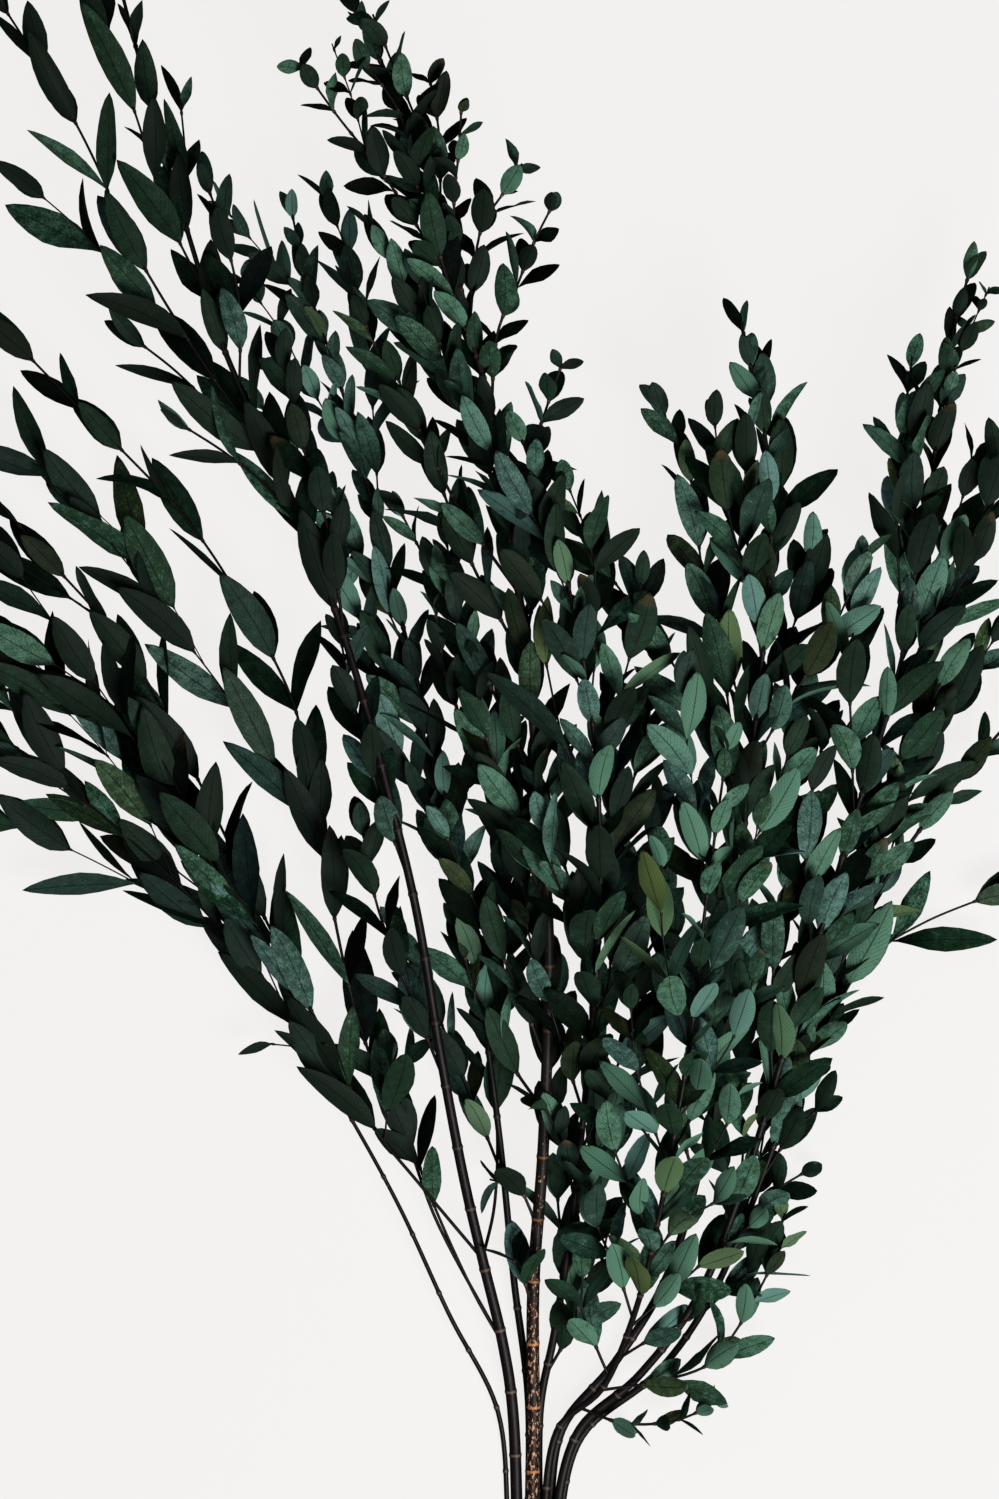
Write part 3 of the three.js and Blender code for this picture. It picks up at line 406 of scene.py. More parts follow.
        twig(366, -6, (-1, 396), (6, 418), (13, 438), leaf=SMALL),
        twig(398, 4, (-36, 438), (-50, 466), (-62, 490)),
        twig(376, 8, (-26, 418), (-36, 446), (-44, 470)),
        twig(316, -8, (-22, 356), (-38, 396), (-54, 436)),
        twig(266, -6, (-14, 306), (-34, 345), (-52, 380)),
        twig(326, 6, (4, 360), (6, 392)),
        twig(216, 6, (-6, 256), (-18, 292), (-24, 330)),
        twig(156, 4, (-6, 190), (-22, 222), (-34, 250)),
        twig(88, 4, (-4, 104), (-16, 108), leaf=SMALL),
        twig(480, 8, (-44, 512), (-52, 536), (-66, 556), leaf=SMALL),
        twig(436, 8, (-32, 468), (-40, 494), (-50, 520)),
        twig(186, -8, (-2, 226), (-10, 262), (-8, 300)),
        twig(496, -6, (-36, 528), (-40, 552), leaf=SMALL),
        twig(346, -12, (-28, 380), (-44, 412), (-62, 446), (-72, 470)),
        twig(136, -10, (-10, 160), (-24, 190), (-30, 224)),
        twig(520, 4, (-70, 540), (-78, 562), leaf=TINY, parent=0),
        twig(506, 8, (-44, 530), (-54, 554), (-62, 574), leaf=SMALL),
        twig(52, 6, (-2, 66), (-7, 76), leaf=BROAD),
        twig(240, -6, (-16, 276), (-32, 308), (-38, 340)),
    )),
    StemPlan("right_front_stem", RIGHT_FRONT, BROAD, 60, (
        *RIGHT_FRONT.bundled(CUT_END + 6), (12, 2, 8), (31, 22, 17), (44, 58, 36), (52, 96, 54),
        (58, 132, 66), (64, 172, 76), (68, 212, 82), (73, 252, 86), (78, 288, 88),
    ), (
        twig(20, -4, (54, 24), (74, 31), (86, 46), (95, 62), (104, 80)),
        twig(12, 4, (40, 6), (62, 8), (80, 17), leaf=TINY),
        twig(48, -8, (62, 66), (76, 78), (92, 90)),
        twig(34, 4, (52, 44), (68, 52)),
        twig(52, 10, (36, 72), (28, 90), (24, 108)),
        twig(26, 6, (28, 38), (22, 54), (22, 70)),
        twig(98, 8, (64, 112), (76, 128), (84, 148)),
        twig(136, 6, (70, 152), (82, 172), (90, 196)),
        twig(116, 8, (48, 138), (42, 160), (40, 186)),
        twig(166, 10, (56, 190), (52, 214), (52, 240), leaf=OVAL),
        twig(186, 8, (76, 206), (84, 228), (90, 256), leaf=OVAL),
        twig(226, 8, (66, 256), (62, 282), (60, 308), leaf=OVAL),
        twig(76, 4, (60, 92), (76, 102)),
        twig(210, 4, (80, 236), (94, 258), (102, 284), leaf=OVAL),
        twig(122, -6, (68, 144), (74, 166), (74, 192), leaf=OVAL),
        twig(84, 8, (42, 104), (34, 124), (30, 148)),
    )),
)


class Draw(IntEnum):
    """What each of a leaf's own draws is for. The number is one of its keys, so a new one redraws it."""

    TURN = 1
    SPREAD = 2
    LENGTH = 3
    WIDTH = 4
    LEVEL = 5
    FALLEN = 6
    DROOP = 11
    FOLD = 12
    BOW = 13
    WAVE = 14
    WAVE_START = 15
    CURL = 16
    TONE = 21
    IS_TEAL = 22
    TEAL = 23
    IS_DRY = 24
    DRY = 25
    IS_OLIVE = 26
    OLIVE = 27


def draw(*keys: int) -> float:
    """A number that depends only on its keys, so each leaf keeps its own shape.

    Args:
        *keys: Whole numbers, such as those of a stem, its limb, a leaf pair and what the draw is for.

    Returns:
        A number from 0 to 1.
    """
    first_shift, last_shift = STIR_SHIFTS
    h = STIR_FROM
    for key in keys:
        h = (h ^ key) * STIR_BY % WHOLE
        h ^= h >> first_shift
        h = h * STIR_ON_BY % WHOLE
        h ^= h >> last_shift
    return h / WHOLE


def unit(a: np.ndarray) -> np.ndarray:
    """A vector of length 1 the same way as another."""
    return a / math.sqrt(float(a @ a))


class CentreLine:
    """A smooth curve through a limb's points, the first of which may lie straight, and its few knots."""

    def __init__(self, points: list, straight_points: int = 1) -> None:
        """Samples the curve and finds its knots.

        Args:
            points: The points that the limb passes.
            straight_points: How many of them lie on one straight line.
        """
        p = np.array(points, float)
        p = np.vstack([2 * p[0] - p[1], p, 2 * p[-1] - p[-2]])
        t = np.arange(CURVE_SAMPLES)[:, None] / CURVE_SAMPLES
        stretches = []
        for a, b, c, d in zip(p[:-3], p[1:-2], p[2:-1], p[3:]):
            start, end = (c - a) / 2, (d - b) / 2
            squared = (3 * (c - b) - 2 * start - end) * t**2
            cubed = (2 * (b - c) + start + end) * t**3
            stretches.append(b + start * t + squared + cubed)
        self.samples = np.vstack([*stretches, p[-2]])
        steps = np.linalg.norm(np.diff(self.samples, axis=0), axis=1)
        self.distances = np.concatenate([[0.0], np.cumsum(steps)])
        self.length = float(self.distances[-1])
        bent = (straight_points - 1) * CURVE_SAMPLES
        last = len(self.samples) - 1
        kept = sorted({0, bent, *self.bends(bent, last), last})
        self.knots = self.samples[kept]
        self.knot_distances = self.distances[kept]
        self.straight_to = float(self.distances[bent])

    def bends(self, first: int, last: int) -> list[int]:
        """Finds the samples at which the straight pieces have to bend to stay near the curve.

        Args:
            first: The number of the sample that a straight piece starts from.
            last: The number of the one that it ends at.

        Returns:
            The numbers of the samples between those two at which it bends.
        """
        if last - first < 2:
            return []
        chord = unit(self.samples[last] - self.samples[first])
        between = self.samples[first + 1 : last] - self.samples[first]
        away = np.linalg.norm(np.cross(between, chord), axis=1)
        farthest = int(np.argmax(away))
        if away[farthest] <= BEND_TOLERANCE:
            return []
        middle = first + 1 + farthest
        return [*self.bends(first, middle), middle, *self.bends(middle, last)]

    def direction_at(self, distance: float) -> np.ndarray:
        """The direction of the curve.

        Args:
            distance: The distance along it from the root.

        Returns:
            The direction, the same one all along the straight stretch.
        """
        if 0 < self.straight_to and distance <= self.straight_to:
            return unit(self.knots[1] - self.knots[0])
        i = int(np.clip(np.searchsorted(self.distances, distance), 1, len(self.samples) - 1))
        return unit(self.samples[i] - self.samples[i - 1])

    def smooth_at(self, distance: float) -> np.ndarray:
        """The point on the curve at a distance from the root."""
        return np.array([np.interp(distance, self.distances, self.samples[:, i]) for i in range(3)])

    def knotted_at(self, distance: float) -> np.ndarray:
        """The point on the straight pieces between knots at a distance from the root."""
        return np.array([np.interp(distance, self.knot_distances, self.knots[:, i]) for i in range(3)])

    def distance_at_y(self, y: float) -> float:
        """Finds where the curve first reaches a height up the bunch.

        Args:
            y: The height.

        Returns:
            The distance along the curve from the root.
        """
        i = 1
        while i < len(self.samples) - 1 and self.samples[i][1] < y:
            i += 1
        a, b = self.samples[i - 1][1], self.samples[i][1]
        share = min(1.0, max(0.0, (y - a) / (b - a)))
        return float(self.distances[i - 1] + (self.distances[i] - self.distances[i - 1]) * share)


@dataclass
class Limb:
    """A main stem or a twig: its line, its leaves and its thickness, and its line as it is drawn."""

    stem: int
    index: int
    line: CentreLine
    leaf: LeafPlan
    leafy_from: float
    root_radius: float
    tip_radius: float
    drawn: CentreLine

    def radius_at(self, distance: float) -> float:
        """The radius, whole along the straight stretch and then tapering to the tip."""
        share = max(0.0, distance - self.line.straight_to) / (self.line.length - self.line.straight_to)
        return self.root_radius + (self.tip_radius - self.root_radius) * min(1.0, share)

    def leafy_length(self) -> float:
        """The length of the stretch that bears leaves."""
        return self.line.length - BUD - self.leafy_from

    def pair_count(self) -> int:
        """How many leaf pairs the limb bears."""
        return max(2, math.floor(self.leafy_length() / self.leaf.spacing) + 1)

    def pair_distance(self, pair: int) -> float:
        """How far along the limb a leaf pair sits.

        Args:
            pair: The number of the pair, counted from the root.

        Returns:
            The distance from the root, which strays a little from even spacing.
        """
        strayed = (draw(self.stem, self.index, pair) - 0.5) * SPACING_VARIES * self.leaf.spacing
        along = self.leafy_length() * pair / (self.pair_count() - 1) + strayed
        return self.leafy_from + min(self.leafy_length(), max(0.0, along))

    def drawn_point(self, distance: float) -> np.ndarray:
        """The point on the limb as it is drawn, which starts on its parent's curve."""
        return self.drawn.smooth_at(distance * self.drawn.length / self.line.length)

    def is_clear(self, others: list["Limb"]) -> bool:
        """Whether this limb keeps clear of every limb of the other stems.

        Args:
            others: The limbs that have grown so far.

        Returns:
            True where no straight piece comes too near to another.
        """
        for other in others:
            if other.stem == self.stem:
                continue
            for (p, q, own_radius), (r, s, other_radius) in product(self.pieces(), other.pieces()):
                if piece_distance(p, q, r, s) < own_radius + (other_radius + TWIG_CLEARANCE):
                    return False
        return True

    def pieces(self) -> list[tuple[np.ndarray, np.ndarray, float]]:
        """The straight pieces between knots, each with its two ends and its radius at the first."""
        radii = [self.radius_at(distance) for distance in self.line.knot_distances]
        return list(zip(self.line.knots, self.line.knots[1:], radii))


def piece_distance(p: np.ndarray, q: np.ndarray, r: np.ndarray, s: np.ndarray) -> float:
    """The least distance between two straight pieces.

    It lies between the share t of the first piece and the share u of the second. Both come from the
    products of the two pieces' own vectors and the one between their starts.

    Args:
        p: The first piece's start.
        q: Its end.
        r: The second piece's start.
        s: Its end.

    Returns:
        The distance from centre line to centre line.
    """
    d1, d2, w = (q - p).tolist(), (s - r).tolist(), (p - r).tolist()
    a, e, f, b, c = (sum(map(mul, *pair)) for pair in ((d1, d1), (d2, d2), (d2, w), (d1, d2), (d1, w)))
    bottom = a * e - b * b
    t = min(1.0, max(0.0, (b * f - c * e) / bottom)) if bottom > PARALLEL_BELOW else 0.0
    u = (b * t + f) / e
    if u < 0 or u > 1:
        u = min(1.0, max(0.0, u))
        t = min(1.0, max(0.0, (b * u - c) / a))
    return math.sqrt(sum((w[i] + d1[i] * t - d2[i] * u) ** 2 for i in range(3)))


def main_limb(stem: int, plan: StemPlan) -> Limb:
    """A stem's main limb, straight from its row.

    Args:
        stem: The number of the stem.
        plan: Its row in the table.

    Returns:
        The limb, which is drawn along its own line.
    """
    line = CentreLine(list(plan.route), STRAIGHT_POINTS)
    leafy_from = line.distance_at_y(plan.leafy_from)
    radius = plan.seat.r
    return Limb(stem, 0, line, plan.leaf.value, leafy_from, radius, radius * MAIN_TIP_SHARE, line)


def twig_at_lift(stem: int, index: int, row: TwigPlan, parent: Limb, lift: float) -> Limb:
    """A twig at a lift, which its points share with the rise by how far along the twig they are.

    Args:
        stem: The number of its stem.
        index: Its own number in that stem.
        row: Its row in the table.
        parent: The limb that it grows from.
        lift: How much higher than its rise it goes.

    Returns:
        The twig as a limb.
    """
    start = parent.line.distance_at_y(row.root_y)
    root = parent.line.knotted_at(start)
    points = [root]
    for i, (x, y) in enumerate(row.points):
        share = min(1.0, RISE_RATE * (i + 1) / len(row.points))
        points.append(np.array([x, y, max(LOWEST_TWIG, root[2] + (row.rise + lift) * share)]))
    root_radius = min(TWIG_ROOT_RADIUS, TWIG_ROOT_SHARE * parent.radius_at(start))
    tip_radius = min(TWIG_TIP_RADIUS, TWIG_TIP_SHARE * root_radius)
    line = CentreLine(points)
    leafy_from = max(BARE_TWIG, row.bare * line.length)
    drawn = CentreLine([parent.drawn_point(start), *points[1:]])
    leaf = row.leaf or STEMS[stem].leaf
    return Limb(stem, index, line, leaf.value, leafy_from, root_radius, tip_radius, drawn)


def grow_limbs() -> list[Limb]:
    """Every limb of every stem.

    Returns:
        The main limbs as they are, then each twig at the least lift that clears the others.
    """
    grown = [main_limb(stem, plan) for stem, plan in enumerate(STEMS)]
    for stem, plan in enumerate(STEMS):
        twigs: list[Limb] = []
        for index, row in enumerate(plan.twigs):
            parent = grown[stem] if row.parent is None else twigs[row.parent]
            for step in range(2 * MOST_LIFT_STEPS + 1):
                lift = LIFT_STEP * math.ceil(step / 2) * (1 if step % 2 else -1)
                tried = twig_at_lift(stem, index + 1, row, parent, lift)
                if tried.is_clear(grown):
                    break
            twigs.append(tried)
            grown.append(tried)
    return grown


def outward_at(direction: np.ndarray, angle: float) -> np.ndarray:
    """The direction towards an angle round a limb.

    Args:
        direction: The direction of the limb.
        angle: The angle in radians, measured from the side that is up.

    Returns:
        The direction, square to the limb's.
    """
    sideways = unit(np.cross(direction, UP))
    upwards = np.cross(sideways, direction)
    return upwards * math.cos(angle) + sideways * math.sin(angle)


@dataclass
class Leaf:
    """One leaf: where it starts, how it points, faces and levels, its size, its kind and its own keys."""

    root: np.ndarray
    along: np.ndarray
    inner: np.ndarray
    level: float
    length: float
    width: float
    kind: LeafPlan
    draws: tuple[int, int, int, int]

    def any(self, purpose: Draw) -> float:
        """A draw of this leaf's own."""
        return draw(*self.draws, purpose)

    def facing_at(self, u: float) -> np.ndarray:
        """The way that the blade faces.

        Args:
            u: The share of its length, counted from the stalk.

        Returns:
            The direction, square to the leaf's own.
        """
        level = UP if self.inner[2] >= 0 else -UP
        towards = self.inner + (level - self.inner) * self.level * min(1.0, u / TWISTED_BY)
        return unit(towards - self.along * float(towards @ self.along))

    def turn(self) -> float:
        """The angle that the blade turns through between its root and its tip, in radians."""
        first, last = self.facing_at(0.0), self.facing_at(1.0)
        return math.atan2(float(np.cross(first, last) @ self.along), float(first @ last))

    def lowest(self) -> float:
        """How low the blade comes.

        Returns:
            The height of the lowest point of its edge, as the solids have it.
        """
        heights = []
        for u, v in ((WIDEST_AT, 1), (WIDEST_AT, -1), (1.0, 0)):
            facing = self.facing_at(u)
            sidewards = v * self.width / 2
            lift = FOLD * abs(sidewards) - DROOP * u * u * self.length
            across = np.cross(self.along, facing)
            place = self.root + self.along * u * self.length + across * sidewards + facing * lift
            heights.append(float(place[2]))
        return min(heights) - SOLID_THICKNESS / 2


def leaf_at(limb: Limb, pair: int, side: int) -> Leaf | None:
    """One leaf of a pair on a limb.

    Args:
        limb: The limb that bears it.
        pair: The number of its pair, counted from the root.
        side: 0 or 1, the side of the pair.

    Returns:
        The leaf, clear of the surface below, or nothing where it has fallen off.
    """
    keys = (limb.stem, limb.index, pair, side)
    if draw(*keys, Draw.FALLEN) < FALLEN_SHARE:
        return None
    distance = limb.pair_distance(pair)
    direction = limb.line.direction_at(distance)
    turn = math.pi / 2 * pair + math.pi * side + (draw(*keys, Draw.TURN) - 0.5) * TURN_VARIES
    outwards = outward_at(direction, turn)
    share = distance / limb.line.length
    tipwards = min(1.0, max(0.0, (share - TIP_SHRINKS_FROM) / (1 - TIP_SHRINKS_FROM)))
    shrink = 1 - (1 - TIP_LEAF_SHARE) * tipwards
    opened = 1 - (1 - limb.leaf.tip_spread) * tipwards
    spread = math.radians((limb.leaf.spread + (draw(*keys, Draw.SPREAD) - 0.5) * SPREAD_VARIES) * opened)
    varied = LENGTH_FROM + LENGTH_VARIES * draw(*keys, Draw.LENGTH)
    length = limb.leaf.length * shrink * varied
    broadened = WIDTH_FROM + WIDTH_VARIES * draw(*keys, Draw.WIDTH)
    width = limb.leaf.width * shrink**WIDTH_SHRINKS * varied**WIDTH_FOLLOWS * broadened
    along = direction * math.cos(spread) + outwards * math.sin(spread)
    inner = direction * math.sin(spread) - outwards * math.cos(spread)
    along = unit(along * np.array(FLATTENED))
    level = MOST_LEVEL * draw(*keys, Draw.LEVEL)
    leaf = Leaf(limb.drawn_point(distance), along, inner, level, length, width, limb.leaf, keys)
    for _ in range(MOST_LEVELLINGS):
        if leaf.lowest() >= LEAF_FLOOR:
            break
        leaf.level = 1.0
        leaf.inner = leaf.inner + (UP - leaf.inner) * RIGHTING
        leaf.along = unit(leaf.along + UP * LEVELLING)
    return leaf


def put(tree: NodeTree, kind: str, inputs: dict | list = (), **settings: object) -> Node:
    """Adds a node with its settings, values and links.

    Args:
        tree: The tree that it goes in.
        kind: The node's type.
        inputs: What goes into the inputs in use, by name or in order: a value, an output, or a node,
            which stands for its first output in use.
        **settings: The node's own settings.

    Returns:
        The node.
    """
    node = tree.nodes.new(kind)
    for name, value in settings.items():
        setattr(node, name, value)
    in_use = [socket for socket in node.inputs if socket.enabled]
    for key, value in inputs.items() if isinstance(inputs, dict) else enumerate(inputs):
        socket = in_use[key] if isinstance(key, int) else next(s for s in in_use if s.name == key)
        if isinstance(value, Node):
            value = next(output for output in value.outputs if output.enabled)
        if isinstance(value, NodeSocket):
            tree.links.new(value, socket)
        else:
            socket.default_value = value
    return node


def linear(hex_colour: str) -> tuple[float, float, float, float]:
    """A linear colour from an sRGB hex value."""
    parts = [int(hex_colour[i : i + 2], 16) / 255 for i in (1, 3, 5)]
    return (*(c / 12.92 if c <= 0.04045 else ((c + 0.055) / 1.055) ** 2.4 for c in parts), 1.0)


def new_tree(name: str, sockets: dict[str, str]) -> tuple[NodeTree, dict[str, NodeSocket]]:
    """An empty geometry tree with named inputs and one geometry output.

    Args:
        name: The tree's name.
        sockets: The type of each input, by its name.

    Returns:
        The tree and its input sockets by name.
    """
    tree = bpy.data.node_groups.new(name, "GeometryNodeTree")
    for label, kind in sockets.items():
        tree.interface.new_socket(label, in_out="INPUT", socket_type=kind)
    tree.interface.new_socket("Geometry", in_out="OUTPUT", socket_type="NodeSocketGeometry")
    start = put(tree, "NodeGroupInput")
    return tree, {label: start.outputs[label] for label in sockets}


def new_material(name: str) -> tuple[Material, NodeTree]:
    """A material that has no nodes yet.

    Args:
        name: The material's name.

    Returns:
        The material and its node tree.
    """
    material = bpy.data.materials.new(name)
    material.use_nodes = True
    material.node_tree.nodes.clear()
    return material, material.node_tree


def new_object(name: str, data: bpy.types.ID) -> Object:
    """Puts a new object in the scene.

    Args:
        name: The object's name.
        data: Its mesh, light or camera.

    Returns:
        The object.
    """
    made = bpy.data.objects.new(name, data)
    bpy.context.scene.collection.objects.link(made)
    return made


def grown_mesh(source: Object, tree: NodeTree, values: dict[str, object]) -> None:
    """Runs a geometry tree on an object and leaves its result as the object's own plain mesh.

    Args:
        source: The object, already in the scene.
        tree: The geometry tree.
        values: The values of the tree's inputs, by name.
    """
    modifier = source.modifiers.new("grown", "NODES")
    modifier.node_group = tree
    for item in tree.interface.items_tree:
        if item.in_out == "INPUT" and item.name in values:
            modifier[item.identifier] = values[item.name]
    depsgraph = bpy.context.evaluated_depsgraph_get()
    made = bpy.data.meshes.new_from_object(
        source.evaluated_get(depsgraph), preserve_all_data_layers=True, depsgraph=depsgraph
    )
    source.modifiers.remove(modifier)
    source.data = made


def seeded_object(name: str, points: np.ndarray, edges: list, values: dict[str, np.ndarray]) -> Object:
    """An object of loose points or edges, with a value or vector of each kind at every point.

    Args:
        name: The object's name.
        points: The points, in metres.
        edges: Pairs of point numbers.
        values: Arrays with a number or a vector for each point, by attribute name.

    Returns:
        The object, linked to the scene.
    """
    mesh = bpy.data.meshes.new(name)
    mesh.from_pydata(points.tolist(), edges, [])
    for label, array in values.items():
        flat = np.asarray(array, np.float32)
        is_vector = flat.ndim == 2
        layer = mesh.attributes.new(label, "FLOAT_VECTOR" if is_vector else "FLOAT", "POINT")
        layer.data.foreach_set("vector" if is_vector else "value", flat.ravel())
    return new_object(name, mesh)


@dataclass
class BladeTree:
    """The rule that turns each seat of a leaf into a closed, thin, curved blade on a short stalk.

    Both formulas are rows of a result's name, a step, and what goes into the step.
    """

    columns: int = 5
    rows: int = 9
    evenness: float = 0.4
    crowding: float = 0.3
    fullness: float = 9.0
    tip_closes: float = 999.0
    same_point: float = 0.0005
    rim_from: float = 0.99
    thickness: float = 0.32
    stalk_width: float = 0.8
    waves: float = 8.0
    tree: NodeTree = field(init=False)

    # A square grid becomes the upper face of a flat blade, with its rows closer together at both ends. Its
    # points are shares across, along and above.
    FLAT: ClassVar[tuple] = (
        ("angle", "MULTIPLY", "x", math.pi),
        ("sine", "SINE", "angle"),
        ("cosine", "COSINE", "angle"),
        ("sweep", "MULTIPLY", "y", math.pi),
        ("eased", "SINE", "sweep"),
        ("even", "MULTIPLY_ADD", "y", "evenness", 0.5),
        ("along", "MULTIPLY_ADD", "eased", "crowding", "even"),
        ("to_tip", "SUBTRACT", 1.0, "along"),
        ("from_ends", "MULTIPLY", "along", "to_tip"),
        ("filling", "MULTIPLY", "from_ends", "fullness"),
        ("body", "MINIMUM", "filling", 1.0),
        ("above", "MULTIPLY", "cosine", "body"),
        ("before_tip", "MULTIPLY", "to_tip", "tip_closes"),
        ("open", "MINIMUM", "before_tip", 1.0),
        ("across", "MULTIPLY", "sine", "open"),
    )

    # The outline gives the reach sidewards, then the spine bows and droops, and the blade over it is folded
    # and waved and has its thickness.
    PLACE: ClassVar[tuple] = (
        ("past_stalk", "SUBTRACT", "along", STALK_SHARE),
        ("from_base", "MAXIMUM", "past_stalk", 0.0),
        ("rising", "POWER", "from_base", "belly"),
        ("to_tip", "SUBTRACT", 1.0, "along"),
        ("falling", "POWER", "to_tip", "point"),
        ("outline", "MULTIPLY", "rising", "falling"),
        ("stalk", "MULTIPLY", "to_tip", "Stalk"),
        ("reach", "MULTIPLY_ADD", "outline", "half_width", "stalk"),
        ("aside", "MULTIPLY", "reach", "across"),
        ("squared", "MULTIPLY", "along", "along"),
        ("far", "MULTIPLY", "squared", "leaf_length"),
        ("bowed", "MULTIPLY_ADD", "bow", "far", "aside"),
        ("drooped", "MULTIPLY", "droop", "far"),
        ("away", "ABSOLUTE", "aside"),
        ("folded", "MULTIPLY", "away", "fold"),
        ("beat", "MULTIPLY_ADD", "along", "Waves", "wave_start"),
        ("swing", "SINE", "beat"),
        ("swayed", "MULTIPLY", "swing", "wave"),
        ("waved", "MULTIPLY_ADD", "swayed", "aside", "folded"),
        ("sunk", "SUBTRACT", "waved", "drooped"),
        ("lift", "MULTIPLY_ADD", "above", "Half Thickness", "sunk"),
        ("spine", "MULTIPLY", "along", "leaf_length"),
        ("turning", "DIVIDE", "along", "Twisted By"),
        ("turned", "MINIMUM", "turning", 1.0),
        ("angle", "MULTIPLY", "turned", "turn"),
    )

    OWN: ClassVar[tuple] = (
        "leaf_length", "half_width", "belly", "point", "fold", "droop", "bow", "wave", "wave_start", "turn",
    )

    def __post_init__(self) -> None:
        """Builds the tree once for all stems."""
        numbers = ("Half Thickness", "Stalk", "Waves", "Twisted By")
        sockets = {"Geometry": "NodeSocketGeometry", **{name: "NodeSocketFloat" for name in numbers}}
        self.tree, ports = new_tree("leaf_blades", {**sockets, "Finish": "NodeSocketMaterial"})
        tree = self.tree
        seated = {"Points": ports["Geometry"], "Instance": self.flat_blade()}
        seats = put(tree, "GeometryNodeInstanceOnPoints", seated)
        real = put(tree, "GeometryNodeRealizeInstances", [seats])
        placed = put(tree, "GeometryNodeSetPosition", {"Geometry": real, "Position": self.place(ports)})
        smooth = put(tree, "GeometryNodeSetShadeSmooth", {"Geometry": placed, "Shade Smooth": True})
        dressed = put(tree, "GeometryNodeSetMaterial", {"Geometry": smooth, "Material": ports["Finish"]})
        put(tree, "NodeGroupOutput", [dressed])

    def settings(self) -> dict[str, float]:
        """What goes into the tree's inputs.

        Returns:
            The values by the names of the inputs, in metres where they are lengths.
        """
        return {
            "Half Thickness": self.thickness / 2 * MM,
            "Stalk": self.stalk_width / 2 * MM,
            "Waves": self.waves,
            "Twisted By": TWISTED_BY,
        }

    def flat_blade(self) -> Node:
        """A closed flat blade with a crisp rim, whose points keep their shares across, along and above.

        Returns:
            The last of its nodes.
        """
        tree = self.tree
        grid = put(tree, "GeometryNodeMeshGrid", [1.0, 1.0, self.columns, self.rows])
        parts = put(tree, "ShaderNodeSeparateXYZ", [put(tree, "GeometryNodeInputPosition")])
        known: dict[object, object] = {"x": parts.outputs["X"], "y": parts.outputs["Y"]}
        for label in ("evenness", "crowding", "fullness", "tip_closes"):
            known[label] = getattr(self, label)
        for label, operation, *terms in self.FLAT:
            values = [known.get(term, term) for term in terms]
            known[label] = put(tree, "ShaderNodeMath", values, operation=operation)
        place = put(tree, "ShaderNodeCombineXYZ", [known["across"], known["along"], known["above"]])
        upper = put(tree, "GeometryNodeSetPosition", {"Geometry": grid, "Position": place})
        mirrored = put(tree, "GeometryNodeTransform", {"Geometry": upper, "Scale": (1.0, 1.0, -1.0)})
        both = put(tree, "GeometryNodeJoinGeometry", [put(tree, "GeometryNodeFlipFaces", [mirrored])])
        tree.links.new(upper.outputs[0], both.inputs[0])
        closed = put(tree, "GeometryNodeMergeByDistance", {"Geometry": both, "Distance": self.same_point})
        where = put(tree, "GeometryNodeInputPosition")
        across = put(tree, "ShaderNodeSeparateXYZ", [where])
        aside = put(tree, "ShaderNodeMath", [across], operation="ABSOLUTE")
        rim = put(tree, "FunctionNodeCompare", [aside, self.rim_from], operation="GREATER_THAN")
        edges = {"Geometry": closed, "Selection": rim, "Shade Smooth": False}
        crisp = put(tree, "GeometryNodeSetShadeSmooth", edges, domain="EDGE")
        kept = {"Geometry": crisp, "Name": "blade", "Value": where}
        kind = {"data_type": "FLOAT_VECTOR", "domain": "POINT"}
        return put(tree, "GeometryNodeStoreNamedAttribute", kept, **kind)

    def place(self, ports: dict[str, NodeSocket]) -> Node:
        """Where each point of a blade goes.

        Args:
            ports: The tree's own inputs.

        Returns:
            The node that gives the position.
        """
        tree = self.tree
        known: dict[object, object] = dict(ports)
        for label in self.OWN:
            known[label] = put(tree, "GeometryNodeInputNamedAttribute", [label], data_type="FLOAT")
        vectors = [
            put(tree, "GeometryNodeInputNamedAttribute", [label], data_type="FLOAT_VECTOR")
            for label in ("blade", "root", "forward", "facing")
        ]
        shares, root, forward, facing = vectors
        parts = put(tree, "ShaderNodeSeparateXYZ", [shares])
        known |= dict(zip(("across", "along", "above"), parts.outputs))
        for label, operation, *terms in self.PLACE:
            values = [known.get(term, term) for term in terms]
            known[label] = put(tree, "ShaderNodeMath", values, operation=operation)
        turned = {"Vector": facing, "Axis": forward, "Angle": known["angle"]}
        faced = put(tree, "ShaderNodeVectorRotate", turned, rotation_type="AXIS_ANGLE")
        across = put(tree, "ShaderNodeVectorMath", [forward, faced], operation="CROSS_PRODUCT")
        place = root
        for way, distance in ((forward, "spine"), (across, "bowed"), (faced, "lift")):
            terms = [way, known[distance], place]
            place = put(tree, "ShaderNodeVectorMath", terms, operation="MULTIPLY_ADD")
        return place


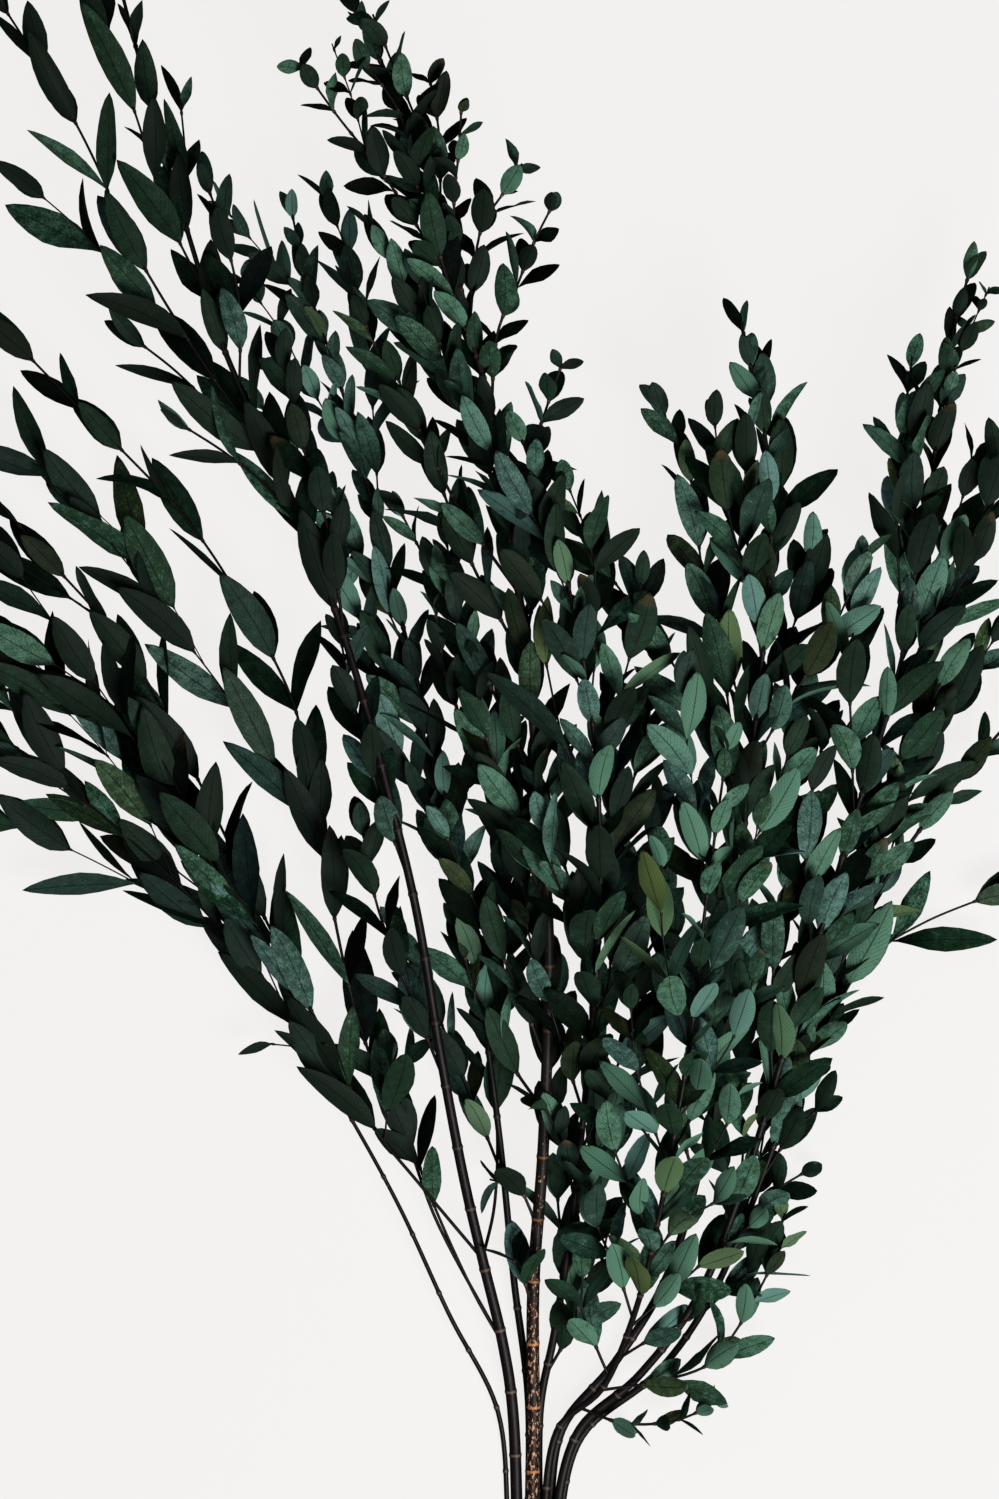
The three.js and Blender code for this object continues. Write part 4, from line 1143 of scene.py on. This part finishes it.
@dataclass
class WoodTree:
    """The rule that turns lines with a girth at each point into round wood with closed ends."""

    sides: int = 8
    tree: NodeTree = field(init=False)

    def __post_init__(self) -> None:
        """Builds the tree once for all stems."""
        sockets = {"Geometry": "NodeSocketGeometry", "Sides": "NodeSocketInt"}
        self.tree, ports = new_tree("round_wood", {**sockets, "Finish": "NodeSocketMaterial"})
        tree = self.tree
        lines = put(tree, "GeometryNodeMeshToCurve", [ports["Geometry"]])
        girth = put(tree, "GeometryNodeInputNamedAttribute", ["girth"], data_type="FLOAT")
        circle = {"Resolution": ports["Sides"], "Radius": 1.0}
        ring = put(tree, "GeometryNodeCurvePrimitiveCircle", circle)
        swept = {"Curve": lines, "Profile Curve": ring, "Scale": girth, "Fill Caps": True}
        wood = put(tree, "GeometryNodeCurveToMesh", swept)
        smooth = put(tree, "GeometryNodeSetShadeSmooth", {"Geometry": wood, "Shade Smooth": True})
        real = put(tree, "GeometryNodeRealizeInstances", [smooth])
        dressed = put(tree, "GeometryNodeSetMaterial", {"Geometry": real, "Material": ports["Finish"]})
        put(tree, "NodeGroupOutput", [dressed])


@dataclass(frozen=True)
class LeafFinish:
    """Preserved eucalyptus leaf, whose sap was replaced by dyed glycerine.

    That leaves it leathery, matt and nearly opaque, in deep greens that differ from leaf to leaf.
    """

    name: str = "preserved_leaf"
    greens: tuple[str, ...] = ("#0B150E", "#152A1B", "#2C4D38", "#6C957F")
    teals: tuple[str, ...] = ("#121C1A", "#223633", "#405C57", "#7AA098")
    olives: tuple[str, ...] = ("#16180F", "#282C1B", "#414A2B", "#6B7A45")
    stops: tuple[float, ...] = (0.0, 0.35, 0.7, 1.0)
    underside: str = "#4E6152"
    dry: str = "#66533A"
    vein: str = "#0E1512"
    roughness: float = 0.55
    specular: float = 0.1
    mottle_mm: float = 3.6
    grain_mm: float = 0.8
    mottling: float = 0.7
    graining: float = 0.7
    mean_pattern: float = 0.7
    vein_pairs: float = 15.0
    vein_slant: float = -3.4
    raggedness: float = 0.3
    under_from: float = -0.02
    under_paler: float = 0.2
    rib_depth: float = 0.6
    vein_depth: float = 0.4
    relief: float = 0.4
    relief_mm: float = 0.2

    # The tone of each leaf with its mottling and grain, then the course of the side veins off the midrib. A
    # row is a result's name, a step and what goes into it: an earlier result, a size above or a number.
    STEPS: ClassVar[tuple] = (
        ("mottled", "MULTIPLY_ADD", "mottle", "mottling", "tone"),
        ("grained", "MULTIPLY_ADD", "grain", "graining", "mottled"),
        ("shade", "SUBTRACT", "grained", "mean_pattern"),
        ("aside", "ABSOLUTE", "across"),
        ("rung", "MULTIPLY", "along", "vein_pairs"),
        ("slant", "MULTIPLY_ADD", "aside", "vein_slant", "rung"),
        ("from_vein", "PINGPONG", "slant", 0.5),
        ("ragged", "MULTIPLY_ADD", "mottle", "raggedness", "along"),
        ("under", "LESS_THAN", "above", "under_from"),
        ("paler", "MULTIPLY", "under", "under_paler"),
    )

    def make(self) -> Material:
        """The material, from each leaf's own tone and its place across and along the blade.

        Returns:
            The material.
        """
        material, tree = new_material(self.name)
        place = put(tree, "ShaderNodeTexCoord").outputs["Object"]
        known: dict[object, object] = asdict(self)
        for label, width in (("mottle", self.mottle_mm), ("grain", self.grain_mm)):
            pattern = {"Vector": place, "Scale": 1 / (width * MM), "Detail": 3.0, "Roughness": 0.6}
            known[label] = put(tree, "ShaderNodeTexNoise", pattern)
        for label in ("tone", "teal", "olive", "dry"):
            known[label] = put(tree, "ShaderNodeAttribute", attribute_name=label).outputs["Fac"]
        shares = put(tree, "ShaderNodeAttribute", attribute_name="blade").outputs["Vector"]
        parts = put(tree, "ShaderNodeSeparateXYZ", [shares])
        known |= dict(zip(("across", "along", "above"), parts.outputs))
        for label, operation, *terms in self.STEPS:
            values = [known.get(term, term) for term in terms]
            known[label] = put(tree, "ShaderNodeMath", values, operation=operation)
        for label, source, start, end in (
            ("rib", "aside", 0.08, 0.02),
            ("side_vein", "from_vein", 0.14, 0.0),
            ("tip", "ragged", 0.88, 1.1),
        ):
            band = {"Value": known[source], "From Min": start, "From Max": end}
            known[label] = put(tree, "ShaderNodeMapRange", band, interpolation_type="SMOOTHSTEP")

        ramps = {}
        for label, colours in (("green", self.greens), ("teal", self.teals), ("olive", self.olives)):
            ramp = put(tree, "ShaderNodeValToRGB", [known["shade"]])
            for position, colour in zip(self.stops[1:-1], colours[1:-1]):
                ramp.color_ramp.elements.new(position).color = linear(colour)
            ramp.color_ramp.elements[0].color = linear(colours[0])
            ramp.color_ramp.elements[-1].color = linear(colours[-1])
            ramps[label] = ramp
        for label, share, amount in (
            ("ribbed", "rib", self.rib_depth),
            ("veined", "side_vein", self.vein_depth),
            ("dried", "tip", known["dry"]),
        ):
            known[label] = put(tree, "ShaderNodeMath", [known[share], amount], operation="MULTIPLY")
        colour = ramps["green"]
        for share, other in (
            ("teal", ramps["teal"]),
            ("olive", ramps["olive"]),
            ("paler", linear(self.underside)),
            ("ribbed", linear(self.vein)),
            ("veined", linear(self.vein)),
            ("dried", linear(self.dry)),
        ):
            mixed = {"Factor": known[share], "A": colour, "B": other}
            colour = put(tree, "ShaderNodeMix", mixed, data_type="RGBA")

        terms = [known["side_vein"], self.vein_depth, known["rib"]]
        sunken = put(tree, "ShaderNodeMath", terms, operation="MULTIPLY_ADD")
        height = put(tree, "ShaderNodeMath", [known["mottle"], sunken], operation="SUBTRACT")
        raised = {"Height": height, "Strength": self.relief, "Distance": self.relief_mm * MM}
        surface = {"Base Color": colour, "Roughness": self.roughness, "Specular IOR Level": self.specular}
        bump = put(tree, "ShaderNodeBump", raised)
        shader = put(tree, "ShaderNodeBsdfPrincipled", {**surface, "Normal": bump})
        put(tree, "ShaderNodeOutputMaterial", {"Surface": shader})
        return material


@dataclass(frozen=True)
class BarkFinish:
    """Young eucalyptus bark, dyed nearly black by the preserving bath.

    Pale flecks of cork show where it is oldest, and a thin pale ring marks each joint that leaves grew
    from.
    """

    name: str
    old: str
    young: str
    fleck: str
    ring: str
    flecks: float
    rings: float
    fleck_mm: float = 1.0
    fleck_stretch: tuple[float, float, float] = (1.0, 0.45, 1.0)
    fleck_least: float = 0.7
    fleck_edge: float = 0.05
    young_ring: float = 0.2
    ring_ages: float = 0.8
    ring_reach_mm: float = 0.75
    ring_core_mm: float = 0.3
    roughness: float = 0.5
    specular: float = 0.35
    relief: float = 0.5
    relief_mm: float = 0.15

    # Flecks and rings are weaker the younger the wood is, in rows such as those of the leaves' finish
    STEPS: ClassVar[tuple] = (
        ("cover", "MULTIPLY", "age", "flecks"),
        ("least", "SUBTRACT", "fleck_least", "cover"),
        ("most", "ADD", "least", "fleck_edge"),
        ("ringed", "MULTIPLY_ADD", "age", "ring_ages", "young_ring"),
        ("ring_share", "MULTIPLY", "ringed", "rings"),
    )

    def make(self) -> Material:
        """The material, from the wood's place, its age and the distance to its nearest joint.

        Returns:
            The material.
        """
        material, tree = new_material(self.name)
        place = put(tree, "ShaderNodeTexCoord").outputs["Object"]
        stretched = put(tree, "ShaderNodeMapping", {"Vector": place, "Scale": self.fleck_stretch})
        pattern = {"Scale": 1 / (self.fleck_mm * MM), "Detail": 2.0, "Roughness": 0.6}
        grain = put(tree, "ShaderNodeTexNoise", {"Vector": stretched, **pattern})
        known: dict[object, object] = asdict(self)
        for label in ("age", "from_joint"):
            known[label] = put(tree, "ShaderNodeAttribute", attribute_name=label).outputs["Fac"]
        for label, operation, *terms in self.STEPS:
            values = [known.get(term, term) for term in terms]
            known[label] = put(tree, "ShaderNodeMath", values, operation=operation)
        bands = (
            ("fleck", grain, known["least"], known["most"], 1.0),
            ("ring", known["from_joint"], self.ring_reach_mm, self.ring_core_mm, known["ring_share"]),
        )
        for label, source, start, end, most in bands:
            band = {"Value": source, "From Min": start, "From Max": end, "To Max": most}
            known[label] = put(tree, "ShaderNodeMapRange", band, interpolation_type="SMOOTHSTEP")
        colour = linear(self.young)
        for share, other in (("age", self.old), ("fleck", self.fleck), ("ring", self.ring)):
            mixed = {"Factor": known[share], "A": colour, "B": linear(other)}
            colour = put(tree, "ShaderNodeMix", mixed, data_type="RGBA")
        raised = {"Height": grain, "Strength": self.relief, "Distance": self.relief_mm * MM}
        bump = put(tree, "ShaderNodeBump", raised)
        surface = {"Base Color": colour, "Roughness": self.roughness, "Specular IOR Level": self.specular}
        shader = put(tree, "ShaderNodeBsdfPrincipled", {**surface, "Normal": bump})
        put(tree, "ShaderNodeOutputMaterial", {"Surface": shader})
        return material


class Bark(Enum):
    """The barks in this bunch."""

    TAN = BarkFinish("speckled_tan_bark", "#2A1C18", "#2A2523", "#D2A685", "#C98D62", 0.15, 0.9)
    PURPLE = BarkFinish("purple_brown_bark", "#22171A", "#1E1518", "#5C4A44", "#806A5A", 0.01, 0.75)
    BROWN = BarkFinish("dark_brown_bark", "#1D1817", "#151211", "#54463C", "#7A6250", 0.03, 0.6)


BARK_OF_STEM = {"centre_stem": Bark.TAN, "left_stem": Bark.PURPLE}


@dataclass(frozen=True)
class Variety:
    """How the leaves of this bunch differ from each other in their bends and tones, with light and shade
    painted into the tones of whole stems.

    A leaf bends freely where its lowest point is higher than the share free_above of its length.
    """

    free_above: float = 0.35
    fold: float = 0.22
    droop: float = 0.22
    least_droop: float = -0.05
    bow: float = 0.26
    low_bow: float = 0.08
    wave: float = 0.3
    cupped_share: float = 0.3
    curled_share: float = 0.12
    curled_fold: float = 0.25
    curled_droop: float = 0.2
    tone_power: float = 1.2
    least_teal: float = 0.3
    olive_share: float = 0.14
    dry_share: float = 0.03
    usual_teal_share: float = 0.32

    # The share of teal leaves on stems that differ in it: teal is the leaves' blue-grey bloom, and the
    # straight stem's large share is also painted light on its back leaves. Then each stem's shift in tone,
    # which is painted light and shade: paler where light falls, on the right-hand stems and the straight
    # stem at the back, and darker on the left-hand stems, which lie in shade.
    TEAL_AND_BACKLIGHT_SHARE: ClassVar[dict] = {"straight_stem": 0.8, "centre_stem": 0.15, "right_front_stem": 0.2}
    PAINTED_LIGHT_AND_SHADE: ClassVar[dict] = {
        "right_front_stem": 0.46,
        "right_low_stem": 0.16,
        "front_right_stem": 0.12,
        "right_centre_stem": 0.1,
        "right_stem": 0.1,
        "straight_stem": 0.22,
        "left_stem": -0.1,
        "left_low_stem": -0.1,
    }

    def bends(self, leaves: list[Leaf], drawn: dict[Draw, np.ndarray]) -> dict[str, np.ndarray]:
        """How each leaf folds, droops, bows and waves, as shares of its own length or width.

        Args:
            leaves: The leaves.
            drawn: Each leaf's draws, by what they are for.

        Returns:
            The bends, by the names that the blades' rule reads.
        """
        free = np.array([leaf.lowest() > leaf.length * self.free_above for leaf in leaves])
        curled = (drawn[Draw.CURL] < self.curled_share) * free
        drooping = drawn[Draw.DROOP] ** 2 * self.droop + self.least_droop
        return {
            "fold": FOLD + free * drawn[Draw.FOLD] * self.fold + curled * self.curled_fold,
            "droop": DROOP + free * drooping + curled * self.curled_droop,
            "bow": (drawn[Draw.BOW] - 0.5) * (self.low_bow + self.bow * free),
            "wave": free * (drawn[Draw.WAVE] - self.cupped_share) * self.wave,
            "wave_start": drawn[Draw.WAVE_START] * math.tau,
        }

    def tones(self, stem: str, drawn: dict[Draw, np.ndarray]) -> dict[str, np.ndarray]:
        """How pale, teal, olive and dry each leaf of a stem is, with the stem's painted light or shade in
        its tone and teal share.

        Args:
            stem: The stem's name.
            drawn: Each leaf's draws, by what they are for.

        Returns:
            The shares, by the names that the leaves' finish reads.
        """
        # Teal is the leaves' blue-grey bloom, and the straight stem's large teal share is also painted
        # light on its back leaves.
        teal = drawn[Draw.IS_TEAL] < self.TEAL_AND_BACKLIGHT_SHARE.get(stem, self.usual_teal_share)
        return {
            # The stem's shift in tone is painted light and shade: paler where light falls on the stem,
            # darker where it lies in shade.
            "tone": drawn[Draw.TONE] ** self.tone_power + self.PAINTED_LIGHT_AND_SHADE.get(stem, 0.0),
            "teal": teal * (self.least_teal + (1 - self.least_teal) * drawn[Draw.TEAL]),
            "olive": (drawn[Draw.IS_OLIVE] < self.olive_share) * drawn[Draw.OLIVE],
            "dry": (drawn[Draw.IS_DRY] < self.dry_share) * drawn[Draw.DRY],
        }


@dataclass
class LeafyStem:
    """One cut stem with its wood and all its leaves.

    Its main limb has bare joints below its leaves. Its bark is old up to old_to and young from young_from.
    """

    plan: StemPlan
    limbs: list[Limb]
    blades: BladeTree
    wood: WoodTree
    variety: Variety = Variety()
    step: float = 4.0
    first_joint: float = 14.0
    joint_gap: float = 27.0
    joints_end_before: float = 8.0
    swelling: float = 0.3
    swelling_reach: float = 1.3
    main_share: float = 0.87
    twig_share: float = 0.66
    old_to: float = 150.0
    young_from: float = 250.0

    def joints(self, limb: Limb) -> np.ndarray:
        """The joints of a limb, where leaf pairs sit, or sat on the old wood of a main stem.

        Args:
            limb: The limb.

        Returns:
            The joints' distances from the root.
        """
        pairs = [limb.pair_distance(pair) for pair in range(limb.pair_count())]
        if limb.index:
            return np.array(pairs)
        old = np.arange(self.first_joint, limb.leafy_from - self.joints_end_before, self.joint_gap)
        return np.array([*old, *pairs])

    def wood_lines(self) -> Object:
        """The stem's limbs as lines with a girth, an age and the distance to the nearest joint.

        Returns:
            The object, which the wood's rule then turns into wood.
        """
        points, edges, girths, ages, gaps = [], [], [], [], []
        for limb in self.limbs:
            joints = self.joints(limb)
            length = limb.line.length
            near_joints = (joints[:, None] + self.swelling_reach * np.array([-1.0, 0.0, 1.0])).ravel()
            regular = np.arange(0.0, length, self.step)
            apart = np.min(np.abs(regular[:, None] - near_joints), axis=1) > self.step / 3
            inside = near_joints[(near_joints > 0) & (near_joints < length)]
            stations = np.unique(np.concatenate([[0.0], regular[apart], inside, [length]]).round(2))
            share = self.twig_share if limb.index else self.main_share
            oldest = 0.0 if limb.index else 1.0
            for i, distance in enumerate(stations):
                gap = float(np.min(np.abs(joints - distance)))
                swollen = self.swelling * max(0.0, 1 - gap / self.swelling_reach)
                points.append(limb.drawn_point(distance))
                girths.append(limb.radius_at(distance) * share + swollen)
                ages.append(np.interp(distance, [self.old_to, self.young_from], [oldest, 0.0]))
                gaps.append(gap)
                if i:
                    edges.append((len(points) - 2, len(points) - 1))
        values = {"girth": np.array(girths) * MM, "age": np.array(ages), "from_joint": np.array(gaps)}
        return seeded_object(f"{self.plan.name}_wood", np.array(points) * MM, edges, values)

    def leaves(self) -> list[Leaf]:
        """Grows the leaves of the stem's limbs.

        Returns:
            All of them but those that have fallen off.
        """
        places = [(limb, pair) for limb in self.limbs for pair in range(limb.pair_count())]
        tried = [leaf_at(limb, pair, side) for limb, pair in places for side in (0, 1)]
        return [leaf for leaf in tried if leaf]

    def leaf_seats(self) -> Object:
        """The stem's leaves as points that know how each blade lies, bends and is coloured.

        Returns:
            The object, which the blades' rule then turns into blades.
        """
        leaves = self.leaves()
        drawn = {purpose: np.array([leaf.any(purpose) for leaf in leaves]) for purpose in Draw}
        values = {
            "root": [leaf.root * MM for leaf in leaves],
            "forward": [leaf.along for leaf in leaves],
            "facing": [leaf.facing_at(0.0) for leaf in leaves],
            "turn": [leaf.turn() for leaf in leaves],
            "leaf_length": [leaf.length * MM for leaf in leaves],
            "half_width": [leaf.width / 2 * MM / leaf.kind.fullest() for leaf in leaves],
            "belly": [leaf.kind.belly for leaf in leaves],
            "point": [leaf.kind.point for leaf in leaves],
            **self.variety.bends(leaves, drawn),
            **self.variety.tones(self.plan.name, drawn),
        }
        arrays = {label: np.array(array) for label, array in values.items()}
        return seeded_object(f"{self.plan.name}_leaves", arrays["root"], [], arrays)

    def build(self, leaf_material: Material, bark_material: Material) -> None:
        """Makes the stem's wood and leaves and stands them for its solid.

        Args:
            leaf_material: The finish of its leaves.
            bark_material: The finish of its wood.
        """
        wood = self.wood_lines()
        grown_mesh(wood, self.wood.tree, {"Sides": self.wood.sides, "Finish": bark_material})
        leaves = self.leaf_seats()
        grown_mesh(leaves, self.blades.tree, {**self.blades.settings(), "Finish": leaf_material})
        for piece in (wood, leaves):
            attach(piece, "root")
            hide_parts(self.plan.name)
            log.info("%s: %d faces", piece.name, len(piece.data.polygons))


@dataclass(frozen=True)
class Lamp:
    """A large soft lamp: its place and width in metres, its turn in radians, its power and its colour."""

    name: str
    place: tuple[float, float, float]
    turn: tuple[float, float, float]
    width: float
    watts: float
    colour: str

    def hang(self) -> None:
        """Hangs the lamp in the scene."""
        light = bpy.data.lights.new(self.name, "AREA")
        light.shape = "DISK"
        light.size = self.width
        light.energy = self.watts
        light.color = linear(self.colour)[:3]
        lamp = new_object(self.name, light)
        lamp.location = self.place
        lamp.rotation_euler = self.turn


@dataclass
class Studio:
    """The pale surface, the soft light and the camera above, in metres."""

    floor_reach: float = 6.0
    floor_colour: str = "#F4F3F2"
    floor_matt: str = "#3C3C3B"
    floor_glow: float = 0.965
    floor_bounce: float = 0.06
    sky_colour: str = "#F3F5F7"
    sky_strength: float = 0.02
    gamma: float = 0.8
    sensor: float = 36.0
    distance: float = 1.5
    centre: tuple[float, float, float] = (-0.012, 0.284, 0.06)
    seen_height: float = 0.6
    lamps: tuple[Lamp, ...] = (
        Lamp("window_lamp", (0.6, -0.45, 1.2), (0.53, 0.47, 0.0), 0.8, 24.0, "#FFFFFF"),
        Lamp("fill_lamp", (-1.1, 1.2, 1.7), (-0.49, -0.57, 0.0), 1.1, 9.0, "#F0F8FF"),
    )

    def floor(self) -> None:
        """The wide pale plane that the bunch lies on."""
        r = self.floor_reach
        mesh = bpy.data.meshes.new("pale_floor")
        mesh.from_pydata([(-r, -r, 0), (r, -r, 0), (r, r, 0), (-r, r, 0)], [], [(0, 1, 2, 3)])
        surface = new_object("pale_floor", mesh)
        material, tree = new_material("pale_paper")
        # The paper looks evenly lit, but throws little light up into the leaves, so their gaps stay dark
        seen = put(tree, "ShaderNodeLightPath").outputs["Is Camera Ray"]
        lit = {"Value": seen, "To Min": self.floor_bounce, "To Max": self.floor_glow}
        strength = put(tree, "ShaderNodeMapRange", lit)
        matt = {"Base Color": linear(self.floor_matt), "Roughness": 0.9, "Specular IOR Level": 0.1}
        glow = {"Emission Color": linear(self.floor_colour), "Emission Strength": strength}
        paper = put(tree, "ShaderNodeBsdfPrincipled", {**matt, **glow})
        put(tree, "ShaderNodeOutputMaterial", {"Surface": paper})
        mesh.materials.append(material)

    def camera(self) -> None:
        """The camera, which looks straight down at the middle of the photograph's frame."""
        lens = bpy.data.cameras.new("camera")
        lens.sensor_fit = "VERTICAL"
        lens.sensor_height = self.sensor
        lens.lens = lens.sensor_height * self.distance / self.seen_height
        camera = new_object("camera", lens)
        camera.location = (self.centre[0], self.centre[1], self.centre[2] + self.distance)
        bpy.context.scene.camera = camera

    def sky(self) -> None:
        """A faint even light from all sides."""
        world = bpy.data.worlds.new("soft_sky")
        world.use_nodes = True
        sky = world.node_tree.nodes["Background"]
        sky.inputs["Color"].default_value = linear(self.sky_colour)
        sky.inputs["Strength"].default_value = self.sky_strength
        bpy.context.scene.world = world

    def build(self) -> None:
        """Sets up the floor, the lamps, the sky and the camera."""
        self.floor()
        for lamp in self.lamps:
            lamp.hang()
        self.sky()
        self.camera()
        bpy.context.scene.view_settings.view_transform = "Standard"
        bpy.context.scene.view_settings.gamma = self.gamma


def main() -> None:
    """Builds the whole scene in order."""
    logging.basicConfig(level=logging.INFO, format="%(name)s: %(message)s")
    Studio().build()
    log.info("studio ready")
    limbs = grow_limbs()
    log.info("%d limbs grown", len(limbs))
    leaf_material = LeafFinish().make()
    barks = {bark: bark.value.make() for bark in Bark}
    blades, wood = BladeTree(), WoodTree()
    for number, plan in enumerate(STEMS):
        own = [limb for limb in limbs if limb.stem == number]
        stem = LeafyStem(plan, own, blades, wood)
        stem.build(leaf_material, barks[BARK_OF_STEM.get(plan.name, Bark.BROWN)])


if __name__ == "__main__":
    main()
